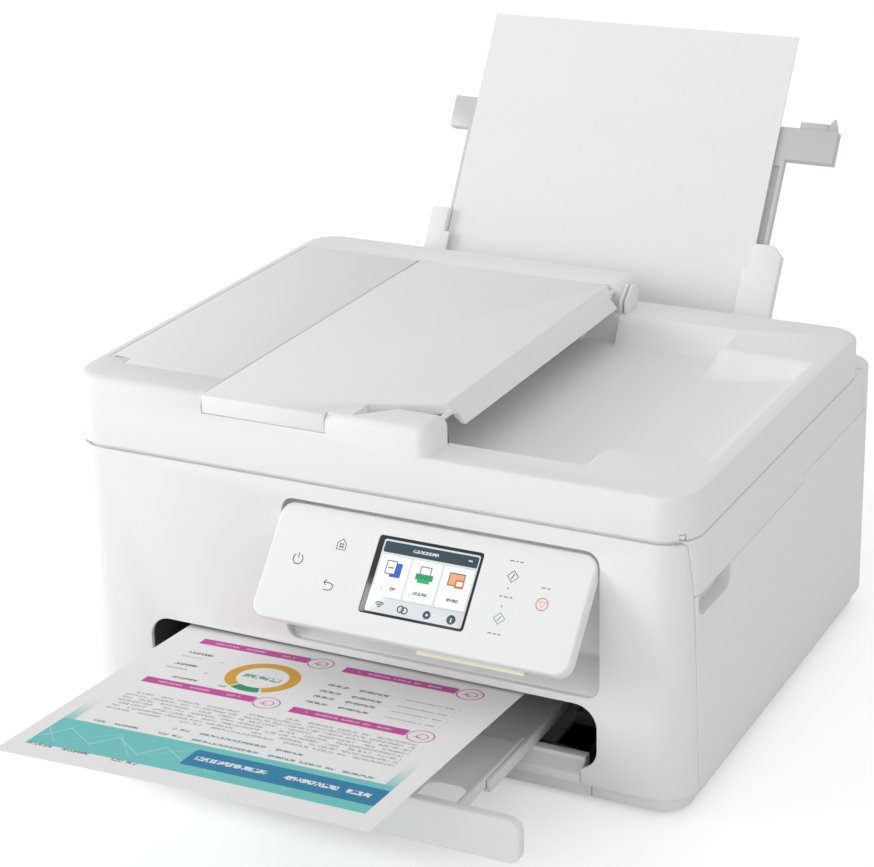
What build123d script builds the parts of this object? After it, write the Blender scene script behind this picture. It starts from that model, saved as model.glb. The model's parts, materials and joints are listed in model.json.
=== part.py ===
"""A desktop inkjet printer with a document feeder, a rear paper feed and a front cassette.

Millimetres, +Z up. X runs to the right and Y to the back. The origin is on the ground, at the
centre of the body's footprint. Each piece of the machine has a function of its own.
"""
from math import cos, radians, sin
import os

from build123d import *

# ---------------------------------------------------------------- driving dimensions
BODY_W = 376.0
BODY_D = 314.0
SIDE = BODY_W / 2
FRONT = -BODY_D / 2
REAR = BODY_D / 2
CORNER_R = 21.0
WALL = 3.0
SEAM = 0.5

FOOT_H = 2.5
FOOT_R = 9.0
FOOT_SEAT = 0.8
BAND_INSET = 5.0
BAND_TOP = 12.0
SKIRT_LOW = 128.0
SKIRT_LOW_REAR = 133.0
SKIRT_STEP_Y = 24.0
COVER_TOP = 158.5
DECK_TOP = 160.0
LID_LOW = 161.2
LID_TOP = 185.0
LID_REAR = 130.0
FEEDER_TOP = 201.0
FEEDER_RIGHT = 41.0
FEEDER_REAR = 138.0
FEEDER_SPLIT = -98.0
FEEDER_COVER_REAR = 106.0

# seam between the front cover and the side walls, as (y, z) points from the bottom to the top
COVER_SEAM = ((-137.2, 0.0), (-144.9, SKIRT_LOW), (-149.6, 165.0))

# front openings
PANEL_LEFT, PANEL_RIGHT = -50.0, 138.6
PANEL_LOW, PANEL_HIGH = 64.0, 149.0
PANEL_R = 8.0
MOUTH_LEFT, MOUTH_RIGHT = -141.0, 137.0
MOUTH_LOW, MOUTH_HIGH = 24.5, 59.5
MOUTH_R = 13.0

# operation panel, a tilted slab that hangs from its top edge
PANEL_TILT = 40.8
PANEL_H = 66.0
PANEL_T = 7.0
PANEL_GAP = 0.8
PIN_DOWN, PIN_BACK, PIN_R = 4.0, 5.6, 1.3
PANEL_FACE = Plane(
    origin=(0, FRONT + 3.0, PANEL_HIGH - 2.6),
    x_dir=(1, 0, 0),
    z_dir=(0, -cos(radians(PANEL_TILT)), sin(radians(PANEL_TILT))),
)
SCREEN_X, SCREEN_Y = 44.2, -31.6
SCREEN_W, SCREEN_H = 62.0, 43.8

# rear feed: its plane lies on the front face of the paper, with y up the slope
FEED_ANGLE = 58.34
FEED_PLANE = Plane(
    origin=(0, 144.9, 160.9),
    x_dir=(1, 0, 0),
    z_dir=(0, -sin(radians(FEED_ANGLE)), cos(radians(FEED_ANGLE))),
)
PAPER_W, PAPER_L = 210.0, 297.0
PAPER_X = -4.0
PAPER_TOP = 198.3
STACK_T = 1.0

# sheet lying in the mouth, seen from its near edge
SHEET_SLOPE = 5.66
SHEET_YAW = -2.07
SHEET_T = 0.3
SHEET_NEAR = (-4.2, -345.1, 76.4)

# cassette and output tray
CASSETTE_LEFT, CASSETTE_RIGHT = -131.0, 127.2
CASSETTE_REAR = 125.0
CASSETTE_TOP = 24.0
TRAY_X = -2.0
TRAY_W = 200.0
TRAY_FLOOR = 25.2
TRAY_STAGE_FRONT = -206.0
PLATE_FRONT = -245.5
PLATE_T = 6.0
PLATE_LOW, PLATE_HIGH = 11.5, 36.5
PLATE_W = 270.0

# hinges, as (y, z)
SCANNER_PIVOT = (128.0, 157.0)
LID_PIVOT = (128.0, 185.0)
LID_ARM_X = (-150.0, 18.0)
# hinges of the document tray and the feed cover, as (x, z), and the radius of their pins
TRAY_PIVOT = (35.0, 197.0)
TRAY_PIN_R = 1.5
FEED_COVER_PIVOT = (-177.6, 199.5)
FEED_COVER_PIN_R = 1.2

# print engine
FRAME_X = 166.0
ROD_Y, ROD_Z, ROD_R = 24.0, 75.0, 4.0
RUNNING_GAP = 0.05
CARRIAGE_X = 108.0
PULLEY_X = 150.0
PULLEY_R = 6.0
BELT_Y, BELT_Z = 35.0, 93.0
FEED_ROLLER = (33.0, 42.0, 6.5)
EXIT_ROLLER = (-70.0, 42.0, 5.5)
SHAFT_R = 3.0

# scanner
GLASS_X0, GLASS_X1 = -126.0, 172.0
GLASS_Y0, GLASS_Y1 = -112.0, 106.0
STRIP_X0, STRIP_X1 = -160.0, -134.0
TUB_LOW = 134.5

PIECES = []


# ---------------------------------------------------------------- helpers
def block(low, high, mode=Mode.ADD):
    """Add a box between two corners to the part being built."""
    size = [b - a for a, b in zip(low, high)]
    middle = tuple((a + b) / 2 for a, b in zip(low, high))
    with Locations(middle):
        Box(*size, mode=mode)


def carve(low, high):
    """Cut a box between two corners out of the part being built."""
    block(low, high, mode=Mode.SUBTRACT)


def rod_x(center, radius, low, high, mode=Mode.ADD):
    """Add a round bar along X, with its axis at the (y, z) given."""
    with Locations(Location(((low + high) / 2, center[0], center[1]), (0, 90, 0))):
        Cylinder(radius, high - low, mode=mode)


def rod_y(center, radius, low, high, mode=Mode.ADD):
    """Add a round bar along Y, with its axis at the (x, z) given."""
    with Locations(Location((center[0], (low + high) / 2, center[1]), (90, 0, 0))):
        Cylinder(radius, high - low, mode=mode)


def keep(part, name):
    """Label a finished piece and write its file."""
    part.label = name
    PIECES.append(name)
    export_step(part, f"parts/{name}.step")
    print(name, round(part.volume / 1000, 1), "cm3")


def case_ring(low, high, inset=0.0, wall=WALL, rear=REAR):
    """An upright wall that follows the body's rounded footprint."""
    depth = rear - FRONT
    middle = (rear + FRONT) / 2
    with BuildPart() as ring:
        with BuildSketch(Plane.XY.offset(low)):
            with Locations((0, middle)):
                RectangleRounded(BODY_W - 2 * inset, depth - 2 * inset, CORNER_R - inset)
                RectangleRounded(
                    BODY_W - 2 * (inset + wall),
                    depth - 2 * (inset + wall),
                    CORNER_R - inset - wall,
                    mode=Mode.SUBTRACT,
                )
        extrude(amount=high - low)
    return ring.part


def seam_block(shift):
    """Everything in front of the front cover's slanted seam, moved back by shift."""
    far = 2 * BODY_D
    with BuildPart() as front:
        with BuildSketch(Plane.YZ):
            with BuildLine():
                Polyline(
                    (-far, 0),
                    *[(y + shift, z) for y, z in COVER_SEAM],
                    (-far, COVER_SEAM[-1][1]),
                    close=True,
                )
            make_face()
        extrude(amount=BODY_W, both=True)
    return front.part


# ---------------------------------------------------------------- case
def rubber_feet():
    """Four round feet that carry the machine."""
    with BuildPart() as feet:
        with BuildSketch(Plane.XY):
            with GridLocations(BODY_W - 66, BODY_D - 56, 2, 2):
                Circle(FOOT_R)
        extrude(amount=FOOT_H + FOOT_SEAT)
        chamfer(feet.faces().sort_by(Axis.Z)[:4].edges(), 0.6)
    return feet.part


def base_tray():
    """Shallow floor pan, inset under the case, open at the front for the cassette."""
    inset = BAND_INSET
    with BuildPart() as pan:
        with BuildSketch(Plane.XY.offset(FOOT_H)):
            RectangleRounded(BODY_W - 2 * inset, BODY_D - 2 * inset, CORNER_R - inset)
        extrude(amount=BAND_TOP - FOOT_H)
        with BuildSketch(Plane.XY.offset(FOOT_H + 2)):
            RectangleRounded(
                BODY_W - 2 * (inset + WALL), BODY_D - 2 * (inset + WALL), CORNER_R - inset - WALL
            )
        extrude(amount=BAND_TOP, mode=Mode.SUBTRACT)
        carve(
            (CASSETTE_LEFT - 6, FRONT, 0),
            (CASSETTE_RIGHT + 5.2, FRONT + 20, BAND_TOP),
        )
        # shallow round seats that the feet stand in
        with BuildSketch(Plane.XY.offset(FOOT_H)):
            with GridLocations(BODY_W - 66, BODY_D - 56, 2, 2):
                Circle(FOOT_R + RUNNING_GAP)
        extrude(amount=FOOT_SEAT, mode=Mode.SUBTRACT)
    return pan.part


def case_screws():
    """Pan-head screws on the back wall."""
    with BuildPart() as screws:
        with BuildSketch(Plane.XZ.offset(-REAR)):
            with Locations((-165, 30), (165, 24), (-165, 118), (165, 118), (-40, 24), (60, 24)):
                Circle(3.2)
        extrude(amount=-1.2)
    return screws.part


def lower_shell():
    """Side and back walls, with a grip recess in each side under the scanner skirt."""
    ring = case_ring(BAND_TOP, SKIRT_LOW_REAR - SEAM)
    front = seam_block(SEAM)
    grip_low, grip_y0, grip_y1, grip_in = 115.0, -141.0, -96.0, 8.0
    with BuildPart() as shell:
        add(ring)
        add(front, mode=Mode.SUBTRACT)
        carve((-BODY_W, FRONT, SKIRT_LOW - SEAM), (BODY_W, SKIRT_STEP_Y, SKIRT_LOW_REAR))
        for side in (-1, 1):
            with BuildSketch(Plane.YZ.offset(side * (SIDE - grip_in - 2))):
                with Locations(((grip_y0 + grip_y1) / 2, (grip_low + SKIRT_LOW) / 2 - 2.2)):
                    Rectangle(grip_y1 - grip_y0 + 4, SKIRT_LOW - grip_low + 3.4)
            extrude(amount=side * (grip_in + 1))
            with BuildSketch(Plane.YZ.offset(side * (SIDE - grip_in))):
                with Locations(((grip_y0 + grip_y1) / 2, (grip_low + SKIRT_LOW) / 2 + 4)):
                    RectangleRounded(grip_y1 - grip_y0, SKIRT_LOW - grip_low + 8, 6)
            extrude(amount=side * 2 * grip_in, mode=Mode.SUBTRACT)
        # sockets in the back wall
        carve((138, REAR - 2 * WALL, 38), (164, REAR + 1, 62))
        carve((-152, REAR - 2 * WALL, 40), (-138, REAR + 1, 54))
    return shell.part


def front_cover():
    """Fixed front wall with wrapped corners, the panel recess and the paper mouth."""
    ring = case_ring(BAND_TOP, COVER_TOP)
    front = seam_block(0)
    with BuildPart() as cover:
        add(ring)
        add(front, mode=Mode.INTERSECT)
        with BuildSketch(Plane.XZ.offset(-FRONT - 2 * WALL)):
            with Locations(((PANEL_LEFT + PANEL_RIGHT) / 2, (PANEL_LOW + PANEL_HIGH) / 2)):
                RectangleRounded(PANEL_RIGHT - PANEL_LEFT, PANEL_HIGH - PANEL_LOW, PANEL_R)
        extrude(amount=3 * WALL, mode=Mode.SUBTRACT)
        with BuildSketch(Plane.XZ.offset(-FRONT - 2 * WALL)):
            with BuildLine():
                FilletPolyline(
                    (MOUTH_LEFT, MOUTH_LOW - 4),
                    (MOUTH_LEFT, MOUTH_HIGH),
                    (MOUTH_RIGHT, MOUTH_HIGH),
                    (MOUTH_RIGHT, MOUTH_LOW - 4),
                    radius=MOUTH_R,
                    close=True,
                )
            make_face()
        extrude(amount=3 * WALL, mode=Mode.SUBTRACT)
        carve(
            (CASSETTE_LEFT - SEAM, FRONT - WALL, 0),
            (CASSETTE_RIGHT + SEAM, FRONT + 2 * WALL, MOUTH_LOW + 10),
        )
        top = cover.faces().sort_by(Axis.Z)[-1]
        outer = top.edges().filter_by(GeomType.LINE).sort_by(Axis.Y)[0]
        chamfer(outer, 1.0)
    return cover.part


def panel_recess():
    """White pocket behind the operation panel, with a floor that slopes down to the front."""
    skin, back = 2.0, FRONT + 28
    near = FRONT + WALL
    with BuildPart() as pocket:
        block((PANEL_LEFT - skin, near, PANEL_LOW - 1.5), (PANEL_RIGHT + skin, back, PANEL_HIGH + skin))
        with BuildSketch(Plane.YZ.offset(PANEL_LEFT)):
            with BuildLine():
                Polyline(
                    (near, PANEL_LOW + 0.5),
                    (back - skin, PANEL_LOW + 13),
                    (back - skin, PANEL_HIGH),
                    (near, PANEL_HIGH),
                    close=True,
                )
            make_face()
        extrude(amount=PANEL_RIGHT - PANEL_LEFT, mode=Mode.SUBTRACT)
        edges = pocket.edges().filter_by(Axis.Y).filter_by_position(Axis.Z, PANEL_HIGH - 1, PANEL_HIGH + 1)
        fillet(edges, PANEL_R - 2)
        # stepped ratchet that holds the tilt
        for step in range(4):
            block(
                (PANEL_RIGHT - 3, near + 4 + 4 * step, PANEL_LOW),
                (PANEL_RIGHT + 1, near + 8 + 4 * step, PANEL_LOW + 19 + 3 * step),
            )
    return pocket.part


def status_light():
    """Light bar lying on the pocket's sloping floor."""
    near, far, thick = 3.0, 17.0, 1.5
    slope = 12.5 / 23.0
    with BuildPart() as bar:
        with BuildSketch(Plane.YZ.offset(28)):
            with Locations((FRONT + WALL, PANEL_LOW + 0.6)):
                Polygon(
                    (near, slope * near),
                    (far, slope * far),
                    (far, slope * far + thick),
                    (near, slope * near + thick),
                    align=None,
                )
        extrude(amount=64)
    return bar.part


def output_duct():
    """Black roof and cheeks of the paper mouth."""
    near, far = FRONT + WALL + 0.2, -84.0
    roof = MOUTH_HIGH + 0.3
    with BuildPart() as duct:
        block((MOUTH_LEFT - 2, near, roof), (MOUTH_RIGHT + 2, far, roof + 1.8))
        block((MOUTH_LEFT - 2, near, MOUTH_LOW + 0.5), (MOUTH_LEFT, far, roof))
        block((MOUTH_RIGHT, near, MOUTH_LOW + 0.5), (MOUTH_RIGHT + 2, far, roof))
        # ledge and window bar at the right of the mouth
        block((108, -118, MOUTH_LOW + 0.5), (MOUTH_RIGHT, -112, 33))
        block((112, -117, 33), (116, -113, roof))
    return duct.part


def rear_case():
    """Fixed deck behind the lid, with the slot that the rear paper stands in."""
    seam_y = 131.0 + SEAM
    low = SKIRT_LOW_REAR
    with BuildPart() as case:
        with BuildSketch(Plane.XY.offset(low)):
            RectangleRounded(BODY_W, BODY_D, CORNER_R)
        extrude(amount=DECK_TOP - low)
        fillet(case.faces().sort_by(Axis.Z)[-1].edges(), 2.0)
        with BuildSketch(Plane.XY.offset(low - 1)):
            RectangleRounded(BODY_W - 2 * WALL, BODY_D - 2 * WALL, CORNER_R - WALL)
        extrude(amount=DECK_TOP - WALL - low + 1, mode=Mode.SUBTRACT)
        carve((-BODY_W, FRONT - 1, 0), (BODY_W, seam_y, 2 * DECK_TOP))
        carve((-130, seam_y - 1, 0), (128, REAR - WALL, 2 * DECK_TOP))
        # room for the lid's hinge posts as the scanner unit swings up
        for x in LID_ARM_X:
            carve((x - 9, seam_y - 1, 150), (x + 9, seam_y + 7, DECK_TOP + 1))
    return case.part


# ---------------------------------------------------------------- print engine
def side_frames():
    """Two upright steel plates that carry the rod and the rollers."""
    with BuildPart() as frames:
        for side in (-1, 1):
            low, high = sorted((side * FRAME_X, side * (FRAME_X + 2)))
            block((low, -84, 28), (high, 60, 118))
        for y, z, _ in (FEED_ROLLER, EXIT_ROLLER):
            rod_x((y, z), SHAFT_R + RUNNING_GAP, -2 * FRAME_X, 2 * FRAME_X, mode=Mode.SUBTRACT)
        rod_x((ROD_Y, ROD_Z), ROD_R, -2 * FRAME_X, 2 * FRAME_X, mode=Mode.SUBTRACT)
        for side in (-1, 1):
            low, high = sorted((side * FRAME_X, side * (FRAME_X + 2)))
            carve((low, -40, 88), (high, 4, 104))
    return frames.part


def rear_frame():
    """Folded steel plate behind the carriage."""
    with BuildPart() as frame:
        block((-FRAME_X, 42, 56), (FRAME_X, 43.5, 114))
        block((-FRAME_X, 43.5, 112.5), (FRAME_X, 56, 114))
        with BuildSketch(Plane.XZ.offset(-60)):
            with GridLocations(60, 1, 5, 1):
                with Locations((0, 68)):
                    RectangleRounded(36, 10, 3)
        extrude(amount=30, mode=Mode.SUBTRACT)
        rod_y((-PULLEY_X, BELT_Z), 3, 40, 50, mode=Mode.SUBTRACT)
        rod_y((PULLEY_X, BELT_Z), 2, 40, 50, mode=Mode.SUBTRACT)
    return frame.part


def carriage_rod():
    """Ground steel rod that the carriage runs on."""
    with BuildPart() as rod:
        rod_x((ROD_Y, ROD_Z), ROD_R, -FRAME_X - 2, FRAME_X + 2)
    return rod.part


def encoder_strip():
    """Thin strip that the carriage reads its position from."""
    with BuildPart() as strip:
        block((-FRAME_X, 30, 104), (FRAME_X, 30.3, 110))
    return strip.part


def carriage_belt():
    """Flat drive belt, a closed loop round two pulleys."""
    thick = 1.0
    inner = PULLEY_R + 0.1
    with BuildPart() as belt:
        with BuildSketch(Plane.XZ.offset(-BELT_Y + 2)):
            with Locations((0, BELT_Z)):
                SlotCenterToCenter(2 * PULLEY_X, 2 * (inner + thick))
                SlotCenterToCenter(2 * PULLEY_X, 2 * inner, mode=Mode.SUBTRACT)
        extrude(amount=-4)
    return belt.part


def belt_pulley(x, axle):
    """Grooved pulley for the carriage belt, with its axle behind."""
    with BuildPart() as pulley:
        rod_y((x, BELT_Z), PULLEY_R, BELT_Y - 2.2, BELT_Y + 2.2)
        rod_y((x, BELT_Z), PULLEY_R + 2, BELT_Y - 3.4, BELT_Y - 2.2)
        rod_y((x, BELT_Z), PULLEY_R + 2, BELT_Y + 2.2, BELT_Y + 3.4)
        rod_y((x, BELT_Z), axle, BELT_Y + 3.4, 48)
    return pulley.part


def carriage_motor():
    """Small motor behind the drive pulley."""
    with BuildPart() as motor:
        rod_y((-PULLEY_X, BELT_Z), 13, 49, 76)
        rod_y((-PULLEY_X, BELT_Z), 4, 76, 79)
    return motor.part


def ink_carriage():
    """Open box that holds the cartridges and runs on the rod."""
    x0, x1 = CARRIAGE_X - 42, CARRIAGE_X + 42
    with BuildPart() as carriage:
        block((x0, -46, 54), (x1, 14, 92))
        carve((x0 + 2, -44, 58), (x1 - 2, 12, 93))
        block((x0 + 2, -16, 58), (x1 - 2, -14.8, 76))
        block((x0 + 6, 14, 66), (x1 - 6, ROD_Y + 8, 84))
        block((x0 + 14, -38, 51.5), (x1 - 14, 6, 54))
        rod_x((ROD_Y, ROD_Z), ROD_R + RUNNING_GAP, x0, x1, mode=Mode.SUBTRACT)
    return carriage.part


def ink_cartridges():
    """Row of ink tanks that stand in the carriage."""
    count, pitch = 5, 15.8
    with BuildPart() as tanks:
        for i in range(count):
            x = CARRIAGE_X + (i - (count - 1) / 2) * pitch
            block((x - 7, -43.5, 76.4), (x + 7, 11.5, 98))
            block((x - 6, -43.5, 98), (x + 6, -30, 102))
    return tanks.part


def platen():
    """Ribbed bed under the print head."""
    with BuildPart() as bed:
        block((-114, -42, 40), (90, 24, 43.4))
        for i in range(9):
            x = -105 + 24 * i
            block((x, -42, 43.4), (x + 2, 24, 45.2))
    return bed.part


def paper_roller(center, radius, rings, half, pitch):
    """Shaft with moulded rubber rings, along X."""
    with BuildPart() as shaft:
        rod_x(center, SHAFT_R, -FRAME_X - 4, FRAME_X + 4)
        for i in range(rings):
            x = PAPER_X + (i - (rings - 1) / 2) * pitch
            rod_x(center, radius, x - half, x + half)
    return shaft.part


def maintenance_unit():
    """Capping and wiping station under the parked carriage."""
    with BuildPart() as unit:
        block((95, -46, 28), (156, 22, 44))
        for x in (104, 128):
            block((x, -34, 44), (x + 18, 4, 49))
            carve((x + 2, -32, 46), (x + 16, 2, 50))
        block((97, 8, 44), (99, 18, 50.5))
    return unit.part


def ink_absorber():
    """Felt pad in a tray under the platen."""
    with BuildPart() as pad:
        block((-112, -40, 28), (88, 22, 37))
    return pad.part


def pickup_roller():
    """Large roller that draws a sheet from the rear stack."""
    with BuildPart(FEED_PLANE) as wheel:
        with Locations(Location((PAPER_X, -84, 13.2), (0, 90, 0))):
            Cylinder(12, 30)
            Cylinder(SHAFT_R, 160)
            Cylinder(8, 44)
    return wheel.part


def main_board():
    """Controller board on the left wall, with its larger components."""
    x = -SIDE + WALL + 6
    with BuildPart() as board:
        block((x, -60, 34), (x + 1.6, 80, 112))
        block((x + 1.6, -20, 60), (x + 4, 10, 90))
        block((x + 1.6, 30, 44), (x + 9, 46, 60))
        block((x + 1.6, -50, 40), (x + 8, -34, 100))
    return board.part


def power_supply():
    """Closed power supply in the right rear corner."""
    with BuildPart() as supply:
        block((126, 70, 28), (180, 150, 88))
        fillet(supply.edges().filter_by(Axis.Z), 3)
    return supply.part


def power_inlet():
    """Two-pin mains inlet in the back wall."""
    with BuildPart() as inlet:
        block((138.2, 150.2, 38.2), (163.8, REAR, 61.8))
        with BuildSketch(Plane.XZ.offset(-REAR)):
            with Locations((151, 50)):
                RectangleRounded(20, 12, 5.9)
        extrude(amount=5, mode=Mode.SUBTRACT)
        for x in (147, 155):
            rod_y((x, 50), 1.3, REAR - 5, REAR - 0.6)
    return inlet.part


def usb_port():
    """Data socket in the back wall."""
    with BuildPart() as port:
        block((-151.8, 146, 40.2), (-138.2, REAR, 53.8))
        carve((-149.5, REAR - 9, 42.5), (-140.5, REAR, 51.5))
        block((-147, REAR - 9, 45.5), (-143, REAR - 1, 48.5))
    return port.part


# ---------------------------------------------------------------- rear feed
def paper_support():
    """Back rest of the rear feed, from inside the case to above the deck."""
    with BuildPart(FEED_PLANE) as rest:
        block((-98, -100, -5.0), (90, 22, -1.6))
        for x in (-60, -20, 20, 60):
            block((x - 1, -100, -1.6), (x + 1, 22, -1.2))
        block((-98, -102, -5), (90, -100, 8))
    return rest.part


def feed_guide(side):
    """Edge guide of the rear feed. side is -1 for the narrow left one and 1 for the right one."""
    edge = PAPER_X + side * (PAPER_W / 2 + 0.4)
    width = 12.0 if side < 0 else 19.0
    top = 62.0
    x0, x1 = sorted((edge, edge + side * width))
    with BuildPart(FEED_PLANE) as guide:
        block((x0, -26, -1.4), (x1, top, 5.5))
        if side > 0:
            upright = guide.edges().filter_by(lambda e: abs(e.tangent_at(0).dot(FEED_PLANE.z_dir)) > 0.99)
            outer_top = upright.sort_by(Axis.Z)[-2:].sort_by(Axis.X)[-1]
            chamfer(outer_top, 6)
        carve((x0 + 2, -30, -3), (x1 - 2, top - 9, 3.5))
        lip0, lip1 = sorted((edge, edge - side * 4))
        block((lip0, -20, 3.5), (lip1, top - 16, 5.5))
    return guide.part


def support_extension():
    """Two rails behind the stack that carry a wide crossbar."""
    low, high = -40.0, 121.0
    bar0, bar1 = 119.5, 140.5
    with BuildPart(FEED_PLANE) as frame:
        block((-112.5, low, -7.2), (-104, high, -2.2))
        block((98, low, -7.2), (107.5, high, -2.2))
        carve((-110, low + 4, -7.2), (-106.5, high - 6, -5))
        carve((100.5, low + 4, -4), (105, high - 6, -2.2))
        block((-126, bar0, -9.5), (138, bar1, -2.2))
        carve((-123, bar0 + 3, -9.5), (-112, bar1 - 3, -6))
        carve((112, bar0 + 3, -9.5), (134, bar1 - 3, -6))
        # catch box and its pointed tab on top of the right end
        block((112, bar1 - 1, -9.5), (130, bar1 + 5, -5))
        with BuildSketch(FEED_PLANE.offset(-8.5)):
            Polygon((129, bar1 - 1), (136, bar1 - 1), (136, bar1 + 3), (133.5, bar1 + 9), (129, bar1 + 3), align=None)
        extrude(amount=3)
    return frame.part


def paper_stack():
    """Loose sheets standing in the rear feed."""
    half = PAPER_W / 2
    with BuildPart(FEED_PLANE) as stack:
        block((PAPER_X - half, PAPER_TOP - PAPER_L, -STACK_T), (PAPER_X + half, PAPER_TOP, 0))
    return stack.part


# ---------------------------------------------------------------- paper mouth
def sheet_plane():
    """Plane of the printed sheet, with its origin at the middle of the near edge."""
    slope, yaw = radians(SHEET_SLOPE), radians(SHEET_YAW)
    inward = Vector(sin(yaw) * cos(slope), cos(yaw) * cos(slope), -sin(slope))
    across = Vector(cos(yaw), -sin(yaw), 0)
    return Plane(origin=SHEET_NEAR, x_dir=across, z_dir=across.cross(inward))


def printed_sheet():
    """Sheet that has come out of the mouth."""
    with BuildPart(sheet_plane()) as sheet:
        block((-PAPER_W / 2, 0, -SHEET_T), (PAPER_W / 2, PAPER_L, 0))
    return sheet.part


def cassette_tray():
    """Open paper tray that slides in under the machine."""
    low = FOOT_H + 2.3
    with BuildPart() as tray:
        block((CASSETTE_LEFT + 1, FRONT + 14, low), (CASSETTE_RIGHT - 1, CASSETTE_REAR, CASSETTE_TOP))
        carve((-113, FRONT + 17, low + 2), (105, CASSETTE_REAR - 3, CASSETTE_TOP + 1))
        carve((-128, FRONT + 17, low + 2), (-115, CASSETTE_REAR - 3, CASSETTE_TOP + 1))
        carve((107, FRONT + 17, low + 2), (124, CASSETTE_REAR - 3, CASSETTE_TOP + 1))
    return tray.part


def cassette_front():
    """Front of the cassette: a lit face, a sloping top and the band below."""
    ledge_y = FRONT + 8
    with BuildPart() as face:
        with BuildSketch(Plane.YZ.offset(CASSETTE_LEFT)):
            with BuildLine():
                Polyline(
                    (FRONT, BAND_TOP),
                    (FRONT, 17.2),
                    (ledge_y, 21.8),
                    (ledge_y, CASSETTE_TOP),
                    (FRONT + 14, CASSETTE_TOP),
                    (FRONT + 14, BAND_TOP),
                    close=True,
                )
            make_face()
        extrude(amount=CASSETTE_RIGHT - CASSETTE_LEFT)
        block(
            (CASSETTE_LEFT - 5, FRONT + BAND_INSET, FOOT_H),
            (CASSETTE_RIGHT + 4.6, FRONT + 14, BAND_TOP - 0.3),
        )
        block((CASSETTE_LEFT, FRONT + 9, BAND_TOP - 0.3), (CASSETTE_RIGHT, FRONT + 14, BAND_TOP))
    return face.part


def cassette_paper():
    """Paper lying in the cassette."""
    low = FOOT_H + 4.5
    with BuildPart() as ream:
        block((PAPER_X - 105, CASSETTE_REAR - 4 - 260, low), (PAPER_X + 105, CASSETTE_REAR - 4, low + 5))
    return ream.part


def tray_stage():
    """Rear stage of the output tray, a floor between two low rails."""
    half = TRAY_W / 2
    with BuildPart() as stage:
        block((TRAY_X - half, TRAY_STAGE_FRONT, TRAY_FLOOR), (TRAY_X + half, -96, TRAY_FLOOR + 1.8))
        for side in (-1, 1):
            x0, x1 = sorted((TRAY_X + side * half, TRAY_X + side * (half - 2)))
            block((x0, TRAY_STAGE_FRONT, TRAY_FLOOR + 1.8), (x1, -96, 32))
    return stage.part


def tray_extension():
    """Front stage of the output tray, with rails and a rounded finger pocket."""
    half = TRAY_W / 2 - 2.6
    low = TRAY_FLOOR + 2.3
    back = PLATE_FRONT + PLATE_T
    with BuildPart() as slider:
        block((TRAY_X - half, back, low), (TRAY_X + half, -158, low + 1.8))
        for side in (-1, 1):
            x0, x1 = sorted((TRAY_X + side * half, TRAY_X + side * (half - 2.2)))
            block((x0, back, low + 1.8), (x1, -158, 33.5))
        with BuildSketch(Plane.XY.offset(low - 1)):
            with Locations((TRAY_X + half - 18, back + 16)):
                RectangleRounded(24, 26, 8)
        extrude(amount=6, mode=Mode.SUBTRACT)
    return slider.part


def tray_plate():
    """Upright end plate of the output tray."""
    with BuildPart() as plate:
        with BuildSketch(Plane.XZ.offset(-PLATE_FRONT)):
            with Locations((TRAY_X, (PLATE_LOW + PLATE_HIGH) / 2)):
                RectangleRounded(PLATE_W, PLATE_HIGH - PLATE_LOW, 7)
        extrude(amount=-PLATE_T)
        fillet(plate.faces().sort_by(Axis.Y)[0].edges(), 1.4)
    return plate.part


# ---------------------------------------------------------------- operation panel
def panel_case():
    """Slab of the operation panel with a window for the screen."""
    width = PANEL_RIGHT - PANEL_LEFT - 2 * PANEL_GAP
    middle = (PANEL_RIGHT + PANEL_LEFT) / 2
    with BuildPart() as slab:
        with BuildSketch(PANEL_FACE):
            with Locations((middle, -PANEL_H / 2)):
                RectangleRounded(width, PANEL_H, PANEL_R)
        extrude(amount=-PANEL_T)
        fillet(slab.faces().sort_by(Axis((0, 0, 0), PANEL_FACE.z_dir))[-1].edges(), 1.6)
        with BuildSketch(PANEL_FACE):
            with Locations((SCREEN_X, SCREEN_Y)):
                RectangleRounded(SCREEN_W, SCREEN_H, 2)
        extrude(amount=-2.2, mode=Mode.SUBTRACT)
        pin = PANEL_FACE.origin - PANEL_FACE.y_dir * PIN_DOWN - PANEL_FACE.z_dir * PIN_BACK
        rod_x((pin.Y, pin.Z), PIN_R, PANEL_LEFT + 0.1, PANEL_LEFT + 2)
        rod_x((pin.Y, pin.Z), PIN_R, PANEL_RIGHT - 2, PANEL_RIGHT - 0.1)
    return slab.part


def panel_screen():
    """Touch screen, set flush in the panel."""
    with BuildPart() as screen:
        with BuildSketch(PANEL_FACE.offset(-2.2)):
            with Locations((SCREEN_X, SCREEN_Y)):
                RectangleRounded(SCREEN_W - 0.4, SCREEN_H - 0.4, 1.8)
        extrude(amount=2.0)
    return screen.part


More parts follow.
